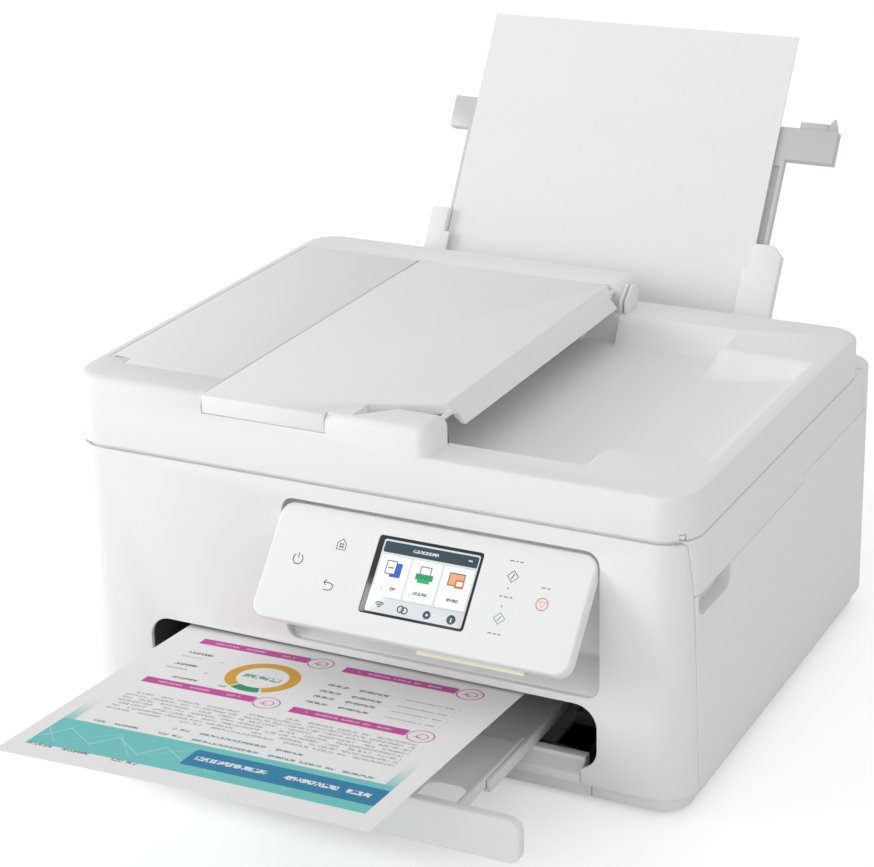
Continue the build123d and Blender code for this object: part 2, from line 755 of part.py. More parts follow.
# ---------------------------------------------------------------- scanner unit
def scanner_case():
    """Lifting upper case: a deck with two glass windows and a skirt on each side."""
    rear = 131.0
    front = seam_block(SEAM)
    with BuildPart() as case:
        with BuildSketch(Plane.XY.offset(SKIRT_LOW)):
            RectangleRounded(BODY_W, BODY_D, CORNER_R)
        extrude(amount=DECK_TOP - SKIRT_LOW)
        with BuildSketch(Plane.XY.offset(SKIRT_LOW - 1)):
            RectangleRounded(BODY_W - 2 * WALL, BODY_D - 2 * WALL, CORNER_R - WALL)
        extrude(amount=DECK_TOP - WALL - SKIRT_LOW + 1, mode=Mode.SUBTRACT)
        add(front, mode=Mode.SUBTRACT)
        with BuildSketch(Plane.XY.offset(DECK_TOP - WALL)):
            RectangleRounded(BODY_W - 2 * WALL - 1.2, BODY_D - 2 * WALL - 1.2, CORNER_R - WALL - 0.6)
        extrude(amount=WALL)
        carve((-BODY_W, rear, 0), (BODY_W, BODY_D, 2 * DECK_TOP))
        carve((-BODY_W, SKIRT_STEP_Y, 0), (BODY_W, BODY_D, SKIRT_LOW_REAR))
        block((-SIDE + WALL, rear - WALL, 150), (SIDE - WALL, rear, DECK_TOP - WALL))
        rod_x(SCANNER_PIVOT, 2.5, -SIDE + WALL, SIDE - WALL)
        edge = case.edges().filter_by(Axis.X).filter_by_position(Axis.Z, DECK_TOP - 0.1, DECK_TOP + 0.1)
        chamfer(edge.sort_by(Axis.Y)[-1], 2.4)
        carve((GLASS_X0, GLASS_Y0, 100), (GLASS_X1, GLASS_Y1, 2 * DECK_TOP))
        carve((STRIP_X0, GLASS_Y0, 100), (STRIP_X1, GLASS_Y1, 2 * DECK_TOP))
    return case.part


def scan_glass():
    """Document glass."""
    with BuildPart() as glass:
        block((GLASS_X0, GLASS_Y0, DECK_TOP - 3), (GLASS_X1, GLASS_Y1, DECK_TOP - 0.2))
    return glass.part


def feeder_glass():
    """Narrow glass strip that the document feeder reads through."""
    with BuildPart() as glass:
        block((STRIP_X0, GLASS_Y0, DECK_TOP - 3), (STRIP_X1, GLASS_Y1, DECK_TOP - 0.2))
    return glass.part


def scan_tub():
    """Closed tub under the glass."""
    x0, x1, y0, y1 = -170, 178, -118, 112
    top = DECK_TOP - WALL
    with BuildPart() as tub:
        block((x0, y0, TUB_LOW), (x1, y1, top))
        carve((x0 + 2, y0 + 2, TUB_LOW + 2), (x1 - 2, y1 - 2, top + 1))
        # rail that the sensor slides on
        block((x0 + 4, -6, TUB_LOW + 2), (x1 - 4, 4, TUB_LOW + 4.5))
    return tub.part


def scan_carriage():
    """Contact image sensor on its slider."""
    with BuildPart() as bar:
        block((-158, -108, 144), (-138, 102, 154.5))
        carve((-151, -104, 153), (-145, 98, 155))
        block((-156, -10, 141), (-140, 8, 144))
        block((-156, -10, 137.2), (-140, -6.6, 141))
        block((-156, 4.6, 137.2), (-140, 8, 141))
    return bar.part


def lid_arms():
    """Two hinge posts that stand on the deck."""
    y, z = LID_PIVOT
    with BuildPart() as arms:
        for x in LID_ARM_X:
            block((x - 8, y - 3.4, DECK_TOP), (x + 8, y + 3, z))
            rod_x((y, z), 4, x - 8, x + 8)
    return arms.part


# ---------------------------------------------------------------- lid and document feeder
def lid_footprint():
    """Rounded outline of the lid."""
    with BuildSketch() as outline:
        with Locations((0, (FRONT + LID_REAR) / 2)):
            RectangleRounded(BODY_W, LID_REAR - FRONT, CORNER_R)
    return outline.sketch


def trough_profile(left, right, deep, shallow):
    """Section of an output recess: a level floor that ramps up to the right."""
    with BuildSketch(Plane.XZ) as section:
        with BuildLine():
            Polyline(
                (left, deep),
                (left + (right - left) * 0.5, deep),
                (right - 10, shallow),
                (right, LID_TOP + 0.1),
                (right, FEEDER_TOP + 1),
                (left, FEEDER_TOP + 1),
                close=True,
            )
        make_face()
    return section.sketch


def lid_frame():
    """Lid with the housing of the document feeder and the recess that documents come out into."""
    outline = lid_footprint()
    main = trough_profile(-95, 124, 168, 178)
    wing = trough_profile(60, 178, 176, 180)
    with BuildPart() as frame:
        with BuildSketch(Plane.XY.offset(LID_LOW)):
            add(outline)
        extrude(amount=LID_TOP - LID_LOW)
        rim = frame.faces().sort_by(Axis.Z)[-1].edges()
        fillet(rim, 2.2)
        # feeder housing, deeper than the lid at the back
        with BuildSketch(Plane.XY.offset(LID_TOP - 4)):
            with BuildLine():
                FilletPolyline(
                    (-SIDE, FRONT),
                    (FEEDER_RIGHT, FRONT),
                    (FEEDER_RIGHT, FEEDER_REAR),
                    (-SIDE, FEEDER_REAR),
                    radius=[CORNER_R, 8, 12, CORNER_R],
                    close=True,
                )
            make_face()
        extrude(amount=FEEDER_TOP - LID_TOP + 4)
        top_edges = frame.faces().sort_by(Axis.Z)[-1].edges()
        fillet(top_edges, 6)
        # main trough and its wider right part
        with BuildSketch(Plane.XZ.offset(-99)):
            add(main)
        extrude(amount=228, mode=Mode.SUBTRACT)
        with BuildSketch(Plane.XZ.offset(-65)):
            add(wing)
        extrude(amount=166, mode=Mode.SUBTRACT)
        # seat of the feed cover, over the feeder's rollers
        carve((-180, -122, FEEDER_TOP - 4), (FEEDER_SPLIT, FEEDER_COVER_REAR, FEEDER_TOP + 1))
        carve((-176, -118, LID_LOW + 5), (FEEDER_SPLIT - 2, 102, FEEDER_TOP))
        carve((-166, -129.5, FEEDER_TOP - 4), (FEEDER_SPLIT, -122, FEEDER_TOP + 1))
        # seat of the document tray
        with BuildSketch(Plane.XY.offset(FEEDER_TOP - 7)):
            with BuildLine():
                Polyline(*tray_outline(0.0), close=True)
            make_face()
        extrude(amount=8, mode=Mode.SUBTRACT)
        carve((FEEDER_SPLIT, FRONT - 1, 190), (-20.5, FRONT + 4.5, FEEDER_TOP + 1))
        carve((20, -129, 168), (FEEDER_RIGHT + 1, 99, FEEDER_TOP))
        carve((30, 98, 188), (FEEDER_RIGHT + 1, FEEDER_COVER_REAR + SEAM, FEEDER_TOP))
        # sockets of the two hinges' pins
        rod_y(TRAY_PIVOT, TRAY_PIN_R + RUNNING_GAP, -132.5, 110, mode=Mode.SUBTRACT)
        rod_y(FEED_COVER_PIVOT, FEED_COVER_PIN_R + RUNNING_GAP, -125, 109, mode=Mode.SUBTRACT)
        # hinge pockets and a shallow hollow underneath
        for x in LID_ARM_X:
            carve((x - 9, 117, LID_LOW), (x + 9, FEEDER_REAR + 1, 190.5))
        carve((-SIDE + 5, FRONT + 5, LID_LOW), (SIDE - 5, 114, LID_LOW + 3.4))
    return frame.part


def tray_outline(gap):
    """Outline of the document tray seen from above, drawn in by gap."""
    left = FEEDER_SPLIT + gap
    right = FEEDER_RIGHT - 0.5
    rear = FEEDER_COVER_REAR - gap
    return [
        (left, FRONT + 4.5),
        (left, rear),
        (31, rear),
        (right + 1, 99 - gap),
        (right + 1, -113.5 + gap),
        (23, -121.5 + gap),
        (4 - gap, -129 + gap),
        (-6 - gap, -133 + gap),
        (-20.5 - gap, FRONT + 4.5),
    ]


def document_tray():
    """Panel over the output recess. It swings up to the right to take documents."""
    slope = FEEDER_RIGHT - 32
    with BuildPart() as tray:
        with BuildSketch(Plane.XY.offset(FEEDER_TOP - 6)):
            with BuildLine():
                Polyline(*tray_outline(SEAM), close=True)
            make_face()
        extrude(amount=6)
        block((FEEDER_SPLIT + SEAM, FRONT + 0.2, 190.5), (-21, FRONT + 4.5, FEEDER_TOP))
        with BuildSketch(Plane.XZ.offset(-98)):
            with BuildLine():
                Polyline(
                    (FEEDER_RIGHT - slope, FEEDER_TOP - 6),
                    (FEEDER_RIGHT + 0.5, FEEDER_TOP - 6),
                    (FEEDER_RIGHT + 0.5, 189),
                    (FEEDER_RIGHT - 2.5, 189),
                    close=True,
                )
            make_face()
        extrude(amount=210)
        with BuildSketch(Plane.XZ.offset(-120)):
            with BuildLine():
                Polyline(
                    (FEEDER_RIGHT - slope, FEEDER_TOP + 0.01),
                    (FEEDER_RIGHT + 2, FEEDER_TOP + 0.01),
                    (FEEDER_RIGHT + 2, 188),
                    close=True,
                )
            make_face()
        extrude(amount=260, mode=Mode.SUBTRACT)
        rod_y(TRAY_PIVOT, TRAY_PIN_R, 98, 109.5)
        rod_y(TRAY_PIVOT, TRAY_PIN_R, -132, -114)
    return tray.part


def feed_cover():
    """Cover over the feeder's rollers, hinged along its left edge."""
    low = FEEDER_TOP - 3
    right = FEEDER_SPLIT - SEAM
    with BuildPart() as cover:
        block((-179, -121.5, low), (right, FEEDER_COVER_REAR - SEAM, FEEDER_TOP))
        block((-165.5, -129, low), (right, -121.5, FEEDER_TOP))
        rod_y(FEED_COVER_PIVOT, FEED_COVER_PIN_R, -124.5, 108.5)
    return cover.part


def document_guide(side):
    """Edge guide for documents, on the inner face of the document tray."""
    y = -12 + side * 80
    with BuildPart() as guide:
        block((-70, y - 7, 191.2), (-30, y + 7, 194.8))
        inner = y - side * 7
        y0, y1 = sorted((inner, inner + side * 2))
        block((-66, y0, 186.5), (-34, y1, 191.2))
    return guide.part


def feeder_roller(x, radius):
    """Shaft with three rubber rings in the document feeder, along Y."""
    z = 183.0
    with BuildPart() as shaft:
        rod_y((x, z), 2.5, -112, 96)
        for y in (-60, -8, 44):
            rod_y((x, z), radius, y - 10, y + 10)
    return shaft.part


def roller_brackets():
    """Upright plates that carry the feeder's rollers."""
    with BuildPart() as plates:
        for y in (-114, 98):
            block((-172, y - 1.5, LID_LOW + 5.1), (-106, y + 1.5, 189))
        for x in (-150, -118):
            rod_y((x, 183), 2.5 + RUNNING_GAP, -130, 130, mode=Mode.SUBTRACT)
    return plates.part


def tray_hinge_arms():
    """Two thin slanted arms behind the document tray."""
    with BuildPart() as arms:
        for x in (41.3, 44.6):
            with BuildSketch(Plane.YZ.offset(x)):
                with BuildLine():
                    Polyline((101, 185.2), (101, 193), (112, 201), (121, 199), (118, 185.2), close=True)
                make_face()
            extrude(amount=1.6)
    return arms.part


def backing_pad():
    """White foam pad that presses a document on the glass."""
    with BuildPart() as pad:
        block((GLASS_X0 + 2, GLASS_Y0 + 2, DECK_TOP + 0.1), (GLASS_X1 - 2, GLASS_Y1 - 2, LID_LOW + 1))
    return pad.part


def lid_plate():
    """Closing plate in the underside of the lid."""
    with BuildPart() as plate:
        block((-SIDE + 5.3, FRONT + 5.3, LID_LOW + 1), (SIDE - 5.3, 113.7, LID_LOW + 3))
    return plate.part


# ---------------------------------------------------------------- build
def build_all():
    """Make and write every piece."""
    os.makedirs("parts", exist_ok=True)
    keep(rubber_feet(), "rubber_feet")
    keep(base_tray(), "base_tray")
    keep(case_screws(), "case_screws")
    keep(lower_shell(), "lower_shell")
    keep(front_cover(), "front_cover")
    keep(panel_recess(), "panel_recess")
    keep(status_light(), "status_light")
    keep(output_duct(), "output_duct")
    keep(rear_case(), "rear_case")
    keep(side_frames(), "side_frames")
    keep(rear_frame(), "rear_frame")
    keep(carriage_rod(), "carriage_rod")
    keep(encoder_strip(), "encoder_strip")
    keep(carriage_belt(), "carriage_belt")
    keep(belt_pulley(-PULLEY_X, 2.9), "drive_pulley")
    keep(belt_pulley(PULLEY_X, 1.9), "idler_pulley")
    keep(carriage_motor(), "carriage_motor")
    keep(ink_carriage(), "ink_carriage")
    keep(ink_cartridges(), "ink_cartridges")
    keep(platen(), "platen")
    keep(paper_roller(FEED_ROLLER[:2], FEED_ROLLER[2], 4, 12, 60), "feed_roller")
    keep(paper_roller(EXIT_ROLLER[:2], EXIT_ROLLER[2], 5, 5, 44), "exit_roller")
    keep(maintenance_unit(), "maintenance_unit")
    keep(ink_absorber(), "ink_absorber")
    keep(pickup_roller(), "pickup_roller")
    keep(main_board(), "main_board")
    keep(power_supply(), "power_supply")
    keep(power_inlet(), "power_inlet")
    keep(usb_port(), "usb_port")
    keep(paper_support(), "paper_support")
    keep(feed_guide(-1), "feed_guide_left")
    keep(feed_guide(1), "feed_guide_right")
    keep(support_extension(), "support_extension")
    keep(paper_stack(), "paper_stack")
    keep(printed_sheet(), "printed_sheet")
    keep(cassette_tray(), "cassette_tray")
    keep(cassette_front(), "cassette_front")
    keep(cassette_paper(), "cassette_paper")
    keep(tray_stage(), "tray_stage")
    keep(tray_extension(), "tray_extension")
    keep(tray_plate(), "tray_plate")
    keep(panel_case(), "panel_case")
    keep(panel_screen(), "panel_screen")
    keep(scanner_case(), "scanner_case")
    keep(scan_glass(), "scan_glass")
    keep(feeder_glass(), "feeder_glass")
    keep(scan_tub(), "scan_tub")
    keep(scan_carriage(), "scan_carriage")
    keep(lid_arms(), "lid_arms")
    keep(lid_frame(), "lid_frame")
    keep(document_tray(), "document_tray")
    keep(feed_cover(), "feed_cover")
    keep(document_guide(-1), "document_guide_front")
    keep(document_guide(1), "document_guide_rear")
    keep(feeder_roller(-118, 9), "feeder_roller")
    keep(feeder_roller(-150, 7), "separator_roller")
    keep(roller_brackets(), "roller_brackets")
    keep(tray_hinge_arms(), "tray_hinge_arms")
    keep(backing_pad(), "backing_pad")
    keep(lid_plate(), "lid_plate")
    print(len(PIECES), "pieces")


build_all()
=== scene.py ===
"""Looks of a desktop inkjet printer: finishes, sculpted plastic, paper and the small printed marks.

Every sub-assembly is a class that holds its sizes in millimetres, builds its pieces and dresses
them. The frame of the machine comes packed, so each piece takes its place from the frame's nodes
and rides on one of its bodies.
"""
import json
import logging
from contextlib import contextmanager
from dataclasses import dataclass, field
from enum import Enum
from math import cos, pi, radians, sin
from typing import Callable, Iterator, Sequence

import bpy
from mathutils import Matrix, Vector

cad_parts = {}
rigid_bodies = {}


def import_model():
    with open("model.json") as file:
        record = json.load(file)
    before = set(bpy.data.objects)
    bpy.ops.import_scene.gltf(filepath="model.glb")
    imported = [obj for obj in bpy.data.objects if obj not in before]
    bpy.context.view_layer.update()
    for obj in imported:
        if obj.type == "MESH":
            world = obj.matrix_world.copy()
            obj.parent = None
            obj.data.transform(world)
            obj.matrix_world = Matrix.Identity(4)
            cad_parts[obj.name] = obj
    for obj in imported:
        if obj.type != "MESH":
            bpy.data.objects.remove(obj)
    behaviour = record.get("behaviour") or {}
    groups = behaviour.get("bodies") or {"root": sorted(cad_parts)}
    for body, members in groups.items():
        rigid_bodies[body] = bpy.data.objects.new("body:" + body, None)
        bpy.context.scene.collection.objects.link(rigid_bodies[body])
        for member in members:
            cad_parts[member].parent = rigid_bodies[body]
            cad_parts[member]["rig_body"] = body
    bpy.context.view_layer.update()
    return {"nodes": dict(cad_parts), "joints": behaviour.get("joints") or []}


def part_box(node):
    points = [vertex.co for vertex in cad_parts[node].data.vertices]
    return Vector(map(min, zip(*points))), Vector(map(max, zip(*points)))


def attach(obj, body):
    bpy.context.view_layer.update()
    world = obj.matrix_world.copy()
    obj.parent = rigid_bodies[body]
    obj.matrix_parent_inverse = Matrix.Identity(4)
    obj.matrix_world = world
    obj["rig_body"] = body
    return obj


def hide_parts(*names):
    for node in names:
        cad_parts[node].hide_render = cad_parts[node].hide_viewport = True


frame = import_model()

LOG = logging.getLogger("printer")
MM = 0.001
Color = tuple[float, float, float]
Point = Sequence[float]

WHITE: Color = (0.86, 0.86, 0.86)
INNER_WHITE: Color = (0.74, 0.745, 0.75)
INK_BLACK: Color = (0.012, 0.012, 0.013)


class Cut(Enum):
    """What a second solid does to the first one."""

    TAKE = "DIFFERENCE"
    JOIN = "UNION"


class Mark(Enum):
    """Kinds of printed mark."""

    BOX = "box"
    RING = "ring"
    ARC = "arc"
    WORDS = "words"
    FADE = "fade"
    LINE = "line"


# ------------------------------------------------------------------ node trees
class Graph:
    """Short ways to add nodes to one node tree and to join them."""

    def __init__(self, tree: bpy.types.NodeTree) -> None:
        """Keep the tree that is worked on.

        Args:
            tree: A material's or a group's node tree.
        """
        self.tree = tree

    def add(self, kind: str, **settings: object) -> bpy.types.Node:
        """Add a node.

        Args:
            kind: The node's type name.
            settings: Attributes to set on it.

        Returns:
            The new node.
        """
        node = self.tree.nodes.new(kind)
        for name, value in settings.items():
            setattr(node, name, value)
        return node

    def put(self, socket: bpy.types.NodeSocket, value: object) -> None:
        """Join another socket to this one, or set its plain value."""
        if isinstance(value, bpy.types.NodeSocket):
            self.tree.links.new(value, socket)
        elif isinstance(value, tuple) and len(value) == 3 and socket.type == "RGBA":
            socket.default_value = (*value, 1.0)
        else:
            socket.default_value = value

    def math(self, how: str, *values: object, clamp: bool = False) -> bpy.types.NodeSocket:
        """Work out one number from others.

        Args:
            how: The operation's name.
            values: Numbers or sockets.
            clamp: Whether the result is held between nought and one.

        Returns:
            The socket that holds the result.
        """
        node = self.add("ShaderNodeMath", operation=how, use_clamp=clamp)
        for socket, value in zip(node.inputs, values):
            self.put(socket, value)
        return node.outputs[0]

    def times(self, *values: object, clamp: bool = False) -> bpy.types.NodeSocket:
        """Multiply two numbers."""
        return self.math("MULTIPLY", *values, clamp=clamp)

    def plus(self, *values: object, clamp: bool = False) -> bpy.types.NodeSocket:
        """Add two numbers."""
        return self.math("ADD", *values, clamp=clamp)

    def less(self, *values: object, clamp: bool = False) -> bpy.types.NodeSocket:
        """Take the second number from the first."""
        return self.math("SUBTRACT", *values, clamp=clamp)

    def mix(self, share: object, first: object, second: object, how: str = "MIX") -> bpy.types.NodeSocket:
        """Blend two colours.

        Args:
            share: How much of the second one shows.
            first: The colour underneath.
            second: The colour on top.
            how: The blend's name.

        Returns:
            The blended colour.
        """
        node = self.add("ShaderNodeMix", data_type="RGBA", blend_type=how, clamp_factor=True)
        self.put(node.inputs["Factor"], share)
        self.put(node.inputs[6], first)
        self.put(node.inputs[7], second)
        return node.outputs[2]

    def noise(
        self, vector: object, scale: float, detail: float = 2.0, rough: float = 0.5
    ) -> bpy.types.NodeSocket:
        """Add a noise pattern and return its value."""
        node = self.add("ShaderNodeTexNoise")
        self.put(node.inputs["Vector"], vector)
        self.put(node.inputs["Scale"], scale)
        self.put(node.inputs["Detail"], detail)
        self.put(node.inputs["Roughness"], rough)
        return node.outputs["Fac"]

    def use(self, group: bpy.types.NodeTree, **inputs: object) -> bpy.types.Node:
        """Place a node group.

        Args:
            group: The group's tree.
            inputs: Its inputs by name, with underscores for spaces.

        Returns:
            The group's node.
        """
        node = self.add("ShaderNodeGroup")
        node.node_tree = group
        for name, value in inputs.items():
            self.put(node.inputs[name.replace("_", " ")], value)
        return node


SOCKETS = {"value": "NodeSocketFloat", "color": "NodeSocketColor", "vector": "NodeSocketVector"}


@dataclass
class EffectGroup:
    """A shader node group with named inputs and outputs, made once and shared."""

    name: str
    inputs: dict[str, tuple[str, object]]
    outputs: dict[str, str]
    wire: Callable[[Graph, dict, dict], None]

    def tree(self) -> bpy.types.NodeTree:
        """Return the group's tree, made on first use."""
        made = bpy.data.node_groups.get(self.name)
        if made is not None:
            return made
        tree = bpy.data.node_groups.new(self.name, "ShaderNodeTree")
        for label, (kind, value) in self.inputs.items():
            socket = tree.interface.new_socket(label, in_out="INPUT", socket_type=SOCKETS[kind])
            if value is not None:
                socket.default_value = (*value, 1.0) if kind == "color" else value
        for label, kind in self.outputs.items():
            tree.interface.new_socket(label, in_out="OUTPUT", socket_type=SOCKETS[kind])
        graph = Graph(tree)
        given = graph.add("NodeGroupInput")
        result = graph.add("NodeGroupOutput")
        self.wire(graph, given.outputs, result.inputs)
        return tree


def wire_tone(graph: Graph, given: dict, result: dict) -> None:
    """Drift a colour slightly lighter and darker over a wide pattern."""
    wide = graph.noise(given["Vector"], 9.0, 3.0)
    near = graph.noise(given["Vector"], 60.0, 2.0)
    both = graph.plus(graph.times(wide, 0.7), graph.times(near, 0.3))
    swing = graph.times(graph.less(both, 0.5), given["Amount"])
    bright = graph.plus(swing, 1.0)
    node = graph.add("ShaderNodeVectorMath", operation="SCALE")
    graph.put(node.inputs[0], given["Color"])
    graph.put(node.inputs["Scale"], bright)
    graph.put(result["Color"], node.outputs[0])


def wire_grain(graph: Graph, given: dict, result: dict) -> None:
    """Spark-eroded texture of moulded plastic: fine pits between rounded grains."""
    cells = graph.add("ShaderNodeTexVoronoi", feature="SMOOTH_F1")
    graph.put(cells.inputs["Vector"], given["Vector"])
    graph.put(cells.inputs["Scale"], given["Scale"])
    graph.put(cells.inputs["Smoothness"], 0.6)
    fine = graph.add("ShaderNodeTexNoise")
    graph.put(fine.inputs["Vector"], given["Vector"])
    graph.put(fine.inputs["Scale"], graph.times(given["Scale"], 1.7))
    fine.inputs["Detail"].default_value = 3.0
    height = graph.plus(cells.outputs["Distance"], graph.times(fine.outputs["Fac"], 0.6))
    graph.put(result["Height"], height)
    graph.put(result["Mask"], graph.times(height, 0.6, clamp=True))


def wire_dust(graph: Graph, given: dict, result: dict) -> None:
    """A thin film of dust on faces that look up, heavier in soft patches."""
    face = graph.add("ShaderNodeNewGeometry")
    parts = graph.add("ShaderNodeSeparateXYZ")
    graph.put(parts.inputs[0], face.outputs["Normal"])
    upward = graph.math("POWER", graph.math("MAXIMUM", parts.outputs["Z"], 0.0), 4.0)
    patch = graph.noise(given["Vector"], 22.0, 4.0, 0.6)
    speck = graph.math("GREATER_THAN", graph.noise(given["Vector"], 900.0, 1.0), 0.72)
    film = graph.plus(graph.times(patch, 0.6), graph.times(speck, 0.4))
    share = graph.times(graph.times(film, upward), given["Amount"], clamp=True)
    graph.put(result["Color"], graph.mix(share, given["Color"], given["Dust"]))
    graph.put(result["Mask"], share)


def wire_wear(graph: Graph, given: dict, result: dict) -> None:
    """Rubbed edges, found from how sharply the surface turns."""
    face = graph.add("ShaderNodeNewGeometry")
    sharp = graph.less(face.outputs["Pointiness"], 0.53)
    edge = graph.times(sharp, 9.0, clamp=True)
    broken = graph.times(graph.noise(given["Vector"], 140.0, 3.0), 1.4, clamp=True)
    share = graph.times(graph.times(edge, broken), given["Amount"], clamp=True)
    graph.put(result["Color"], graph.mix(share, given["Color"], given["Worn"]))
    graph.put(result["Mask"], share)


def wire_box(graph: Graph, given: dict, result: dict) -> None:
    """A rounded box on a flat map: one inside, nought outside."""
    across = graph.math("ABSOLUTE", graph.less(given["U"], given["Centre U"]))
    along = graph.math("ABSOLUTE", graph.less(given["V"], given["Centre V"]))
    over_u = graph.less(across, graph.less(given["Half U"], given["Corner"]))
    over_v = graph.less(along, graph.less(given["Half V"], given["Corner"]))
    out_u = graph.math("MAXIMUM", over_u, 0.0)
    out_v = graph.math("MAXIMUM", over_v, 0.0)
    square = graph.plus(graph.times(out_u, out_u), graph.times(out_v, out_v))
    reach = graph.less(graph.math("SQRT", square), given["Corner"])
    inside = graph.less(0.5, graph.math("DIVIDE", reach, given["Soft"]), clamp=True)
    graph.put(result["Mask"], inside)


def wire_ring(graph: Graph, given: dict, result: dict) -> None:
    """A round band on a flat map, whole or over part of a turn."""
    across = graph.less(given["U"], given["Centre U"])
    along = graph.less(given["V"], given["Centre V"])
    square = graph.plus(graph.times(across, across), graph.times(along, along))
    reach = graph.math("SQRT", square)
    off = graph.math("ABSOLUTE", graph.less(reach, given["Radius"]))
    band = graph.less(graph.math("DIVIDE", given["Width"], 2.0), off)
    shown = graph.plus(graph.math("DIVIDE", band, given["Soft"]), 0.5, clamp=True)
    turn = graph.math("DIVIDE", graph.math("ARCTAN2", along, across), 2 * pi)
    turned = graph.math("FRACT", graph.plus(graph.less(turn, given["Start"]), 2.0))
    within = graph.math("LESS_THAN", turned, given["Turns"])
    graph.put(result["Mask"], graph.times(shown, within))


def wire_words(graph: Graph, given: dict, result: dict) -> None:
    """Rows of unreadable strokes, broken into words, that stand for text."""
    row = graph.math("FLOOR", graph.math("DIVIDE", given["V"], given["Pitch"]))
    place = graph.math("FRACT", graph.math("DIVIDE", given["V"], given["Pitch"]))
    tall = graph.times(graph.math("GREATER_THAN", place, 0.22), graph.math("LESS_THAN", place, 0.78))
    word = graph.add("ShaderNodeCombineXYZ")
    graph.put(word.inputs["X"], graph.math("DIVIDE", given["U"], graph.times(given["Pitch"], 1.5)))
    graph.put(word.inputs["Y"], graph.times(row, 7.31))
    gap = graph.math("LESS_THAN", graph.noise(word.outputs[0], 1.0, 0.0), 0.60)
    stroke = graph.add("ShaderNodeCombineXYZ")
    graph.put(stroke.inputs["X"], graph.math("DIVIDE", given["U"], graph.times(given["Pitch"], 0.19)))
    graph.put(stroke.inputs["Y"], graph.times(graph.math("DIVIDE", given["V"], given["Pitch"]), 2.6))
    graph.put(stroke.inputs["Z"], graph.times(row, 3.7))
    letter = graph.math("GREATER_THAN", graph.noise(stroke.outputs[0], 1.0, 1.0), given["Weight"])
    shown = graph.times(graph.times(tall, gap), letter)
    graph.put(result["Mask"], shown)


PLACE = {
    "U": ("value", 0.0), "V": ("value", 0.0), "Centre U": ("value", 0.0), "Centre V": ("value", 0.0),
}
SURFACE = {"Vector": ("vector", None), "Color": ("color", WHITE)}
TONE = EffectGroup(
    "tone_drift",
    {**SURFACE, "Amount": ("value", 0.02)},
    {"Color": "color"}, wire_tone,
)
GRAIN = EffectGroup(
    "moulded_grain",
    {"Vector": ("vector", None), "Scale": ("value", 1500.0)},
    {"Height": "value", "Mask": "value"}, wire_grain,
)
DUST = EffectGroup(
    "dust_film",
    {**SURFACE, "Dust": ("color", (0.6, 0.59, 0.56)), "Amount": ("value", 0.05)},
    {"Color": "color", "Mask": "value"}, wire_dust,
)
WEAR = EffectGroup(
    "edge_wear",
    {**SURFACE, "Worn": ("color", (1.0, 1.0, 1.0)), "Amount": ("value", 0.3)},
    {"Color": "color", "Mask": "value"}, wire_wear,
)
BOX_MASK = EffectGroup(
    "print_box",
    {**PLACE, "Half U": ("value", 1.0), "Half V": ("value", 1.0), "Corner": ("value", 0.1),
     "Soft": ("value", 0.15)},
    {"Mask": "value"}, wire_box,
)
RING_MASK = EffectGroup(
    "print_ring",
    {**PLACE, "Radius": ("value", 1.0), "Width": ("value", 0.5), "Soft": ("value", 0.15),
     "Start": ("value", 0.0), "Turns": ("value", 1.1)},
    {"Mask": "value"}, wire_ring,
)
WORD_MASK = EffectGroup(
    "print_words",
    {"U": ("value", 0.0), "V": ("value", 0.0), "Pitch": ("value", 4.0), "Weight": ("value", 0.47)},
    {"Mask": "value"}, wire_words,
)


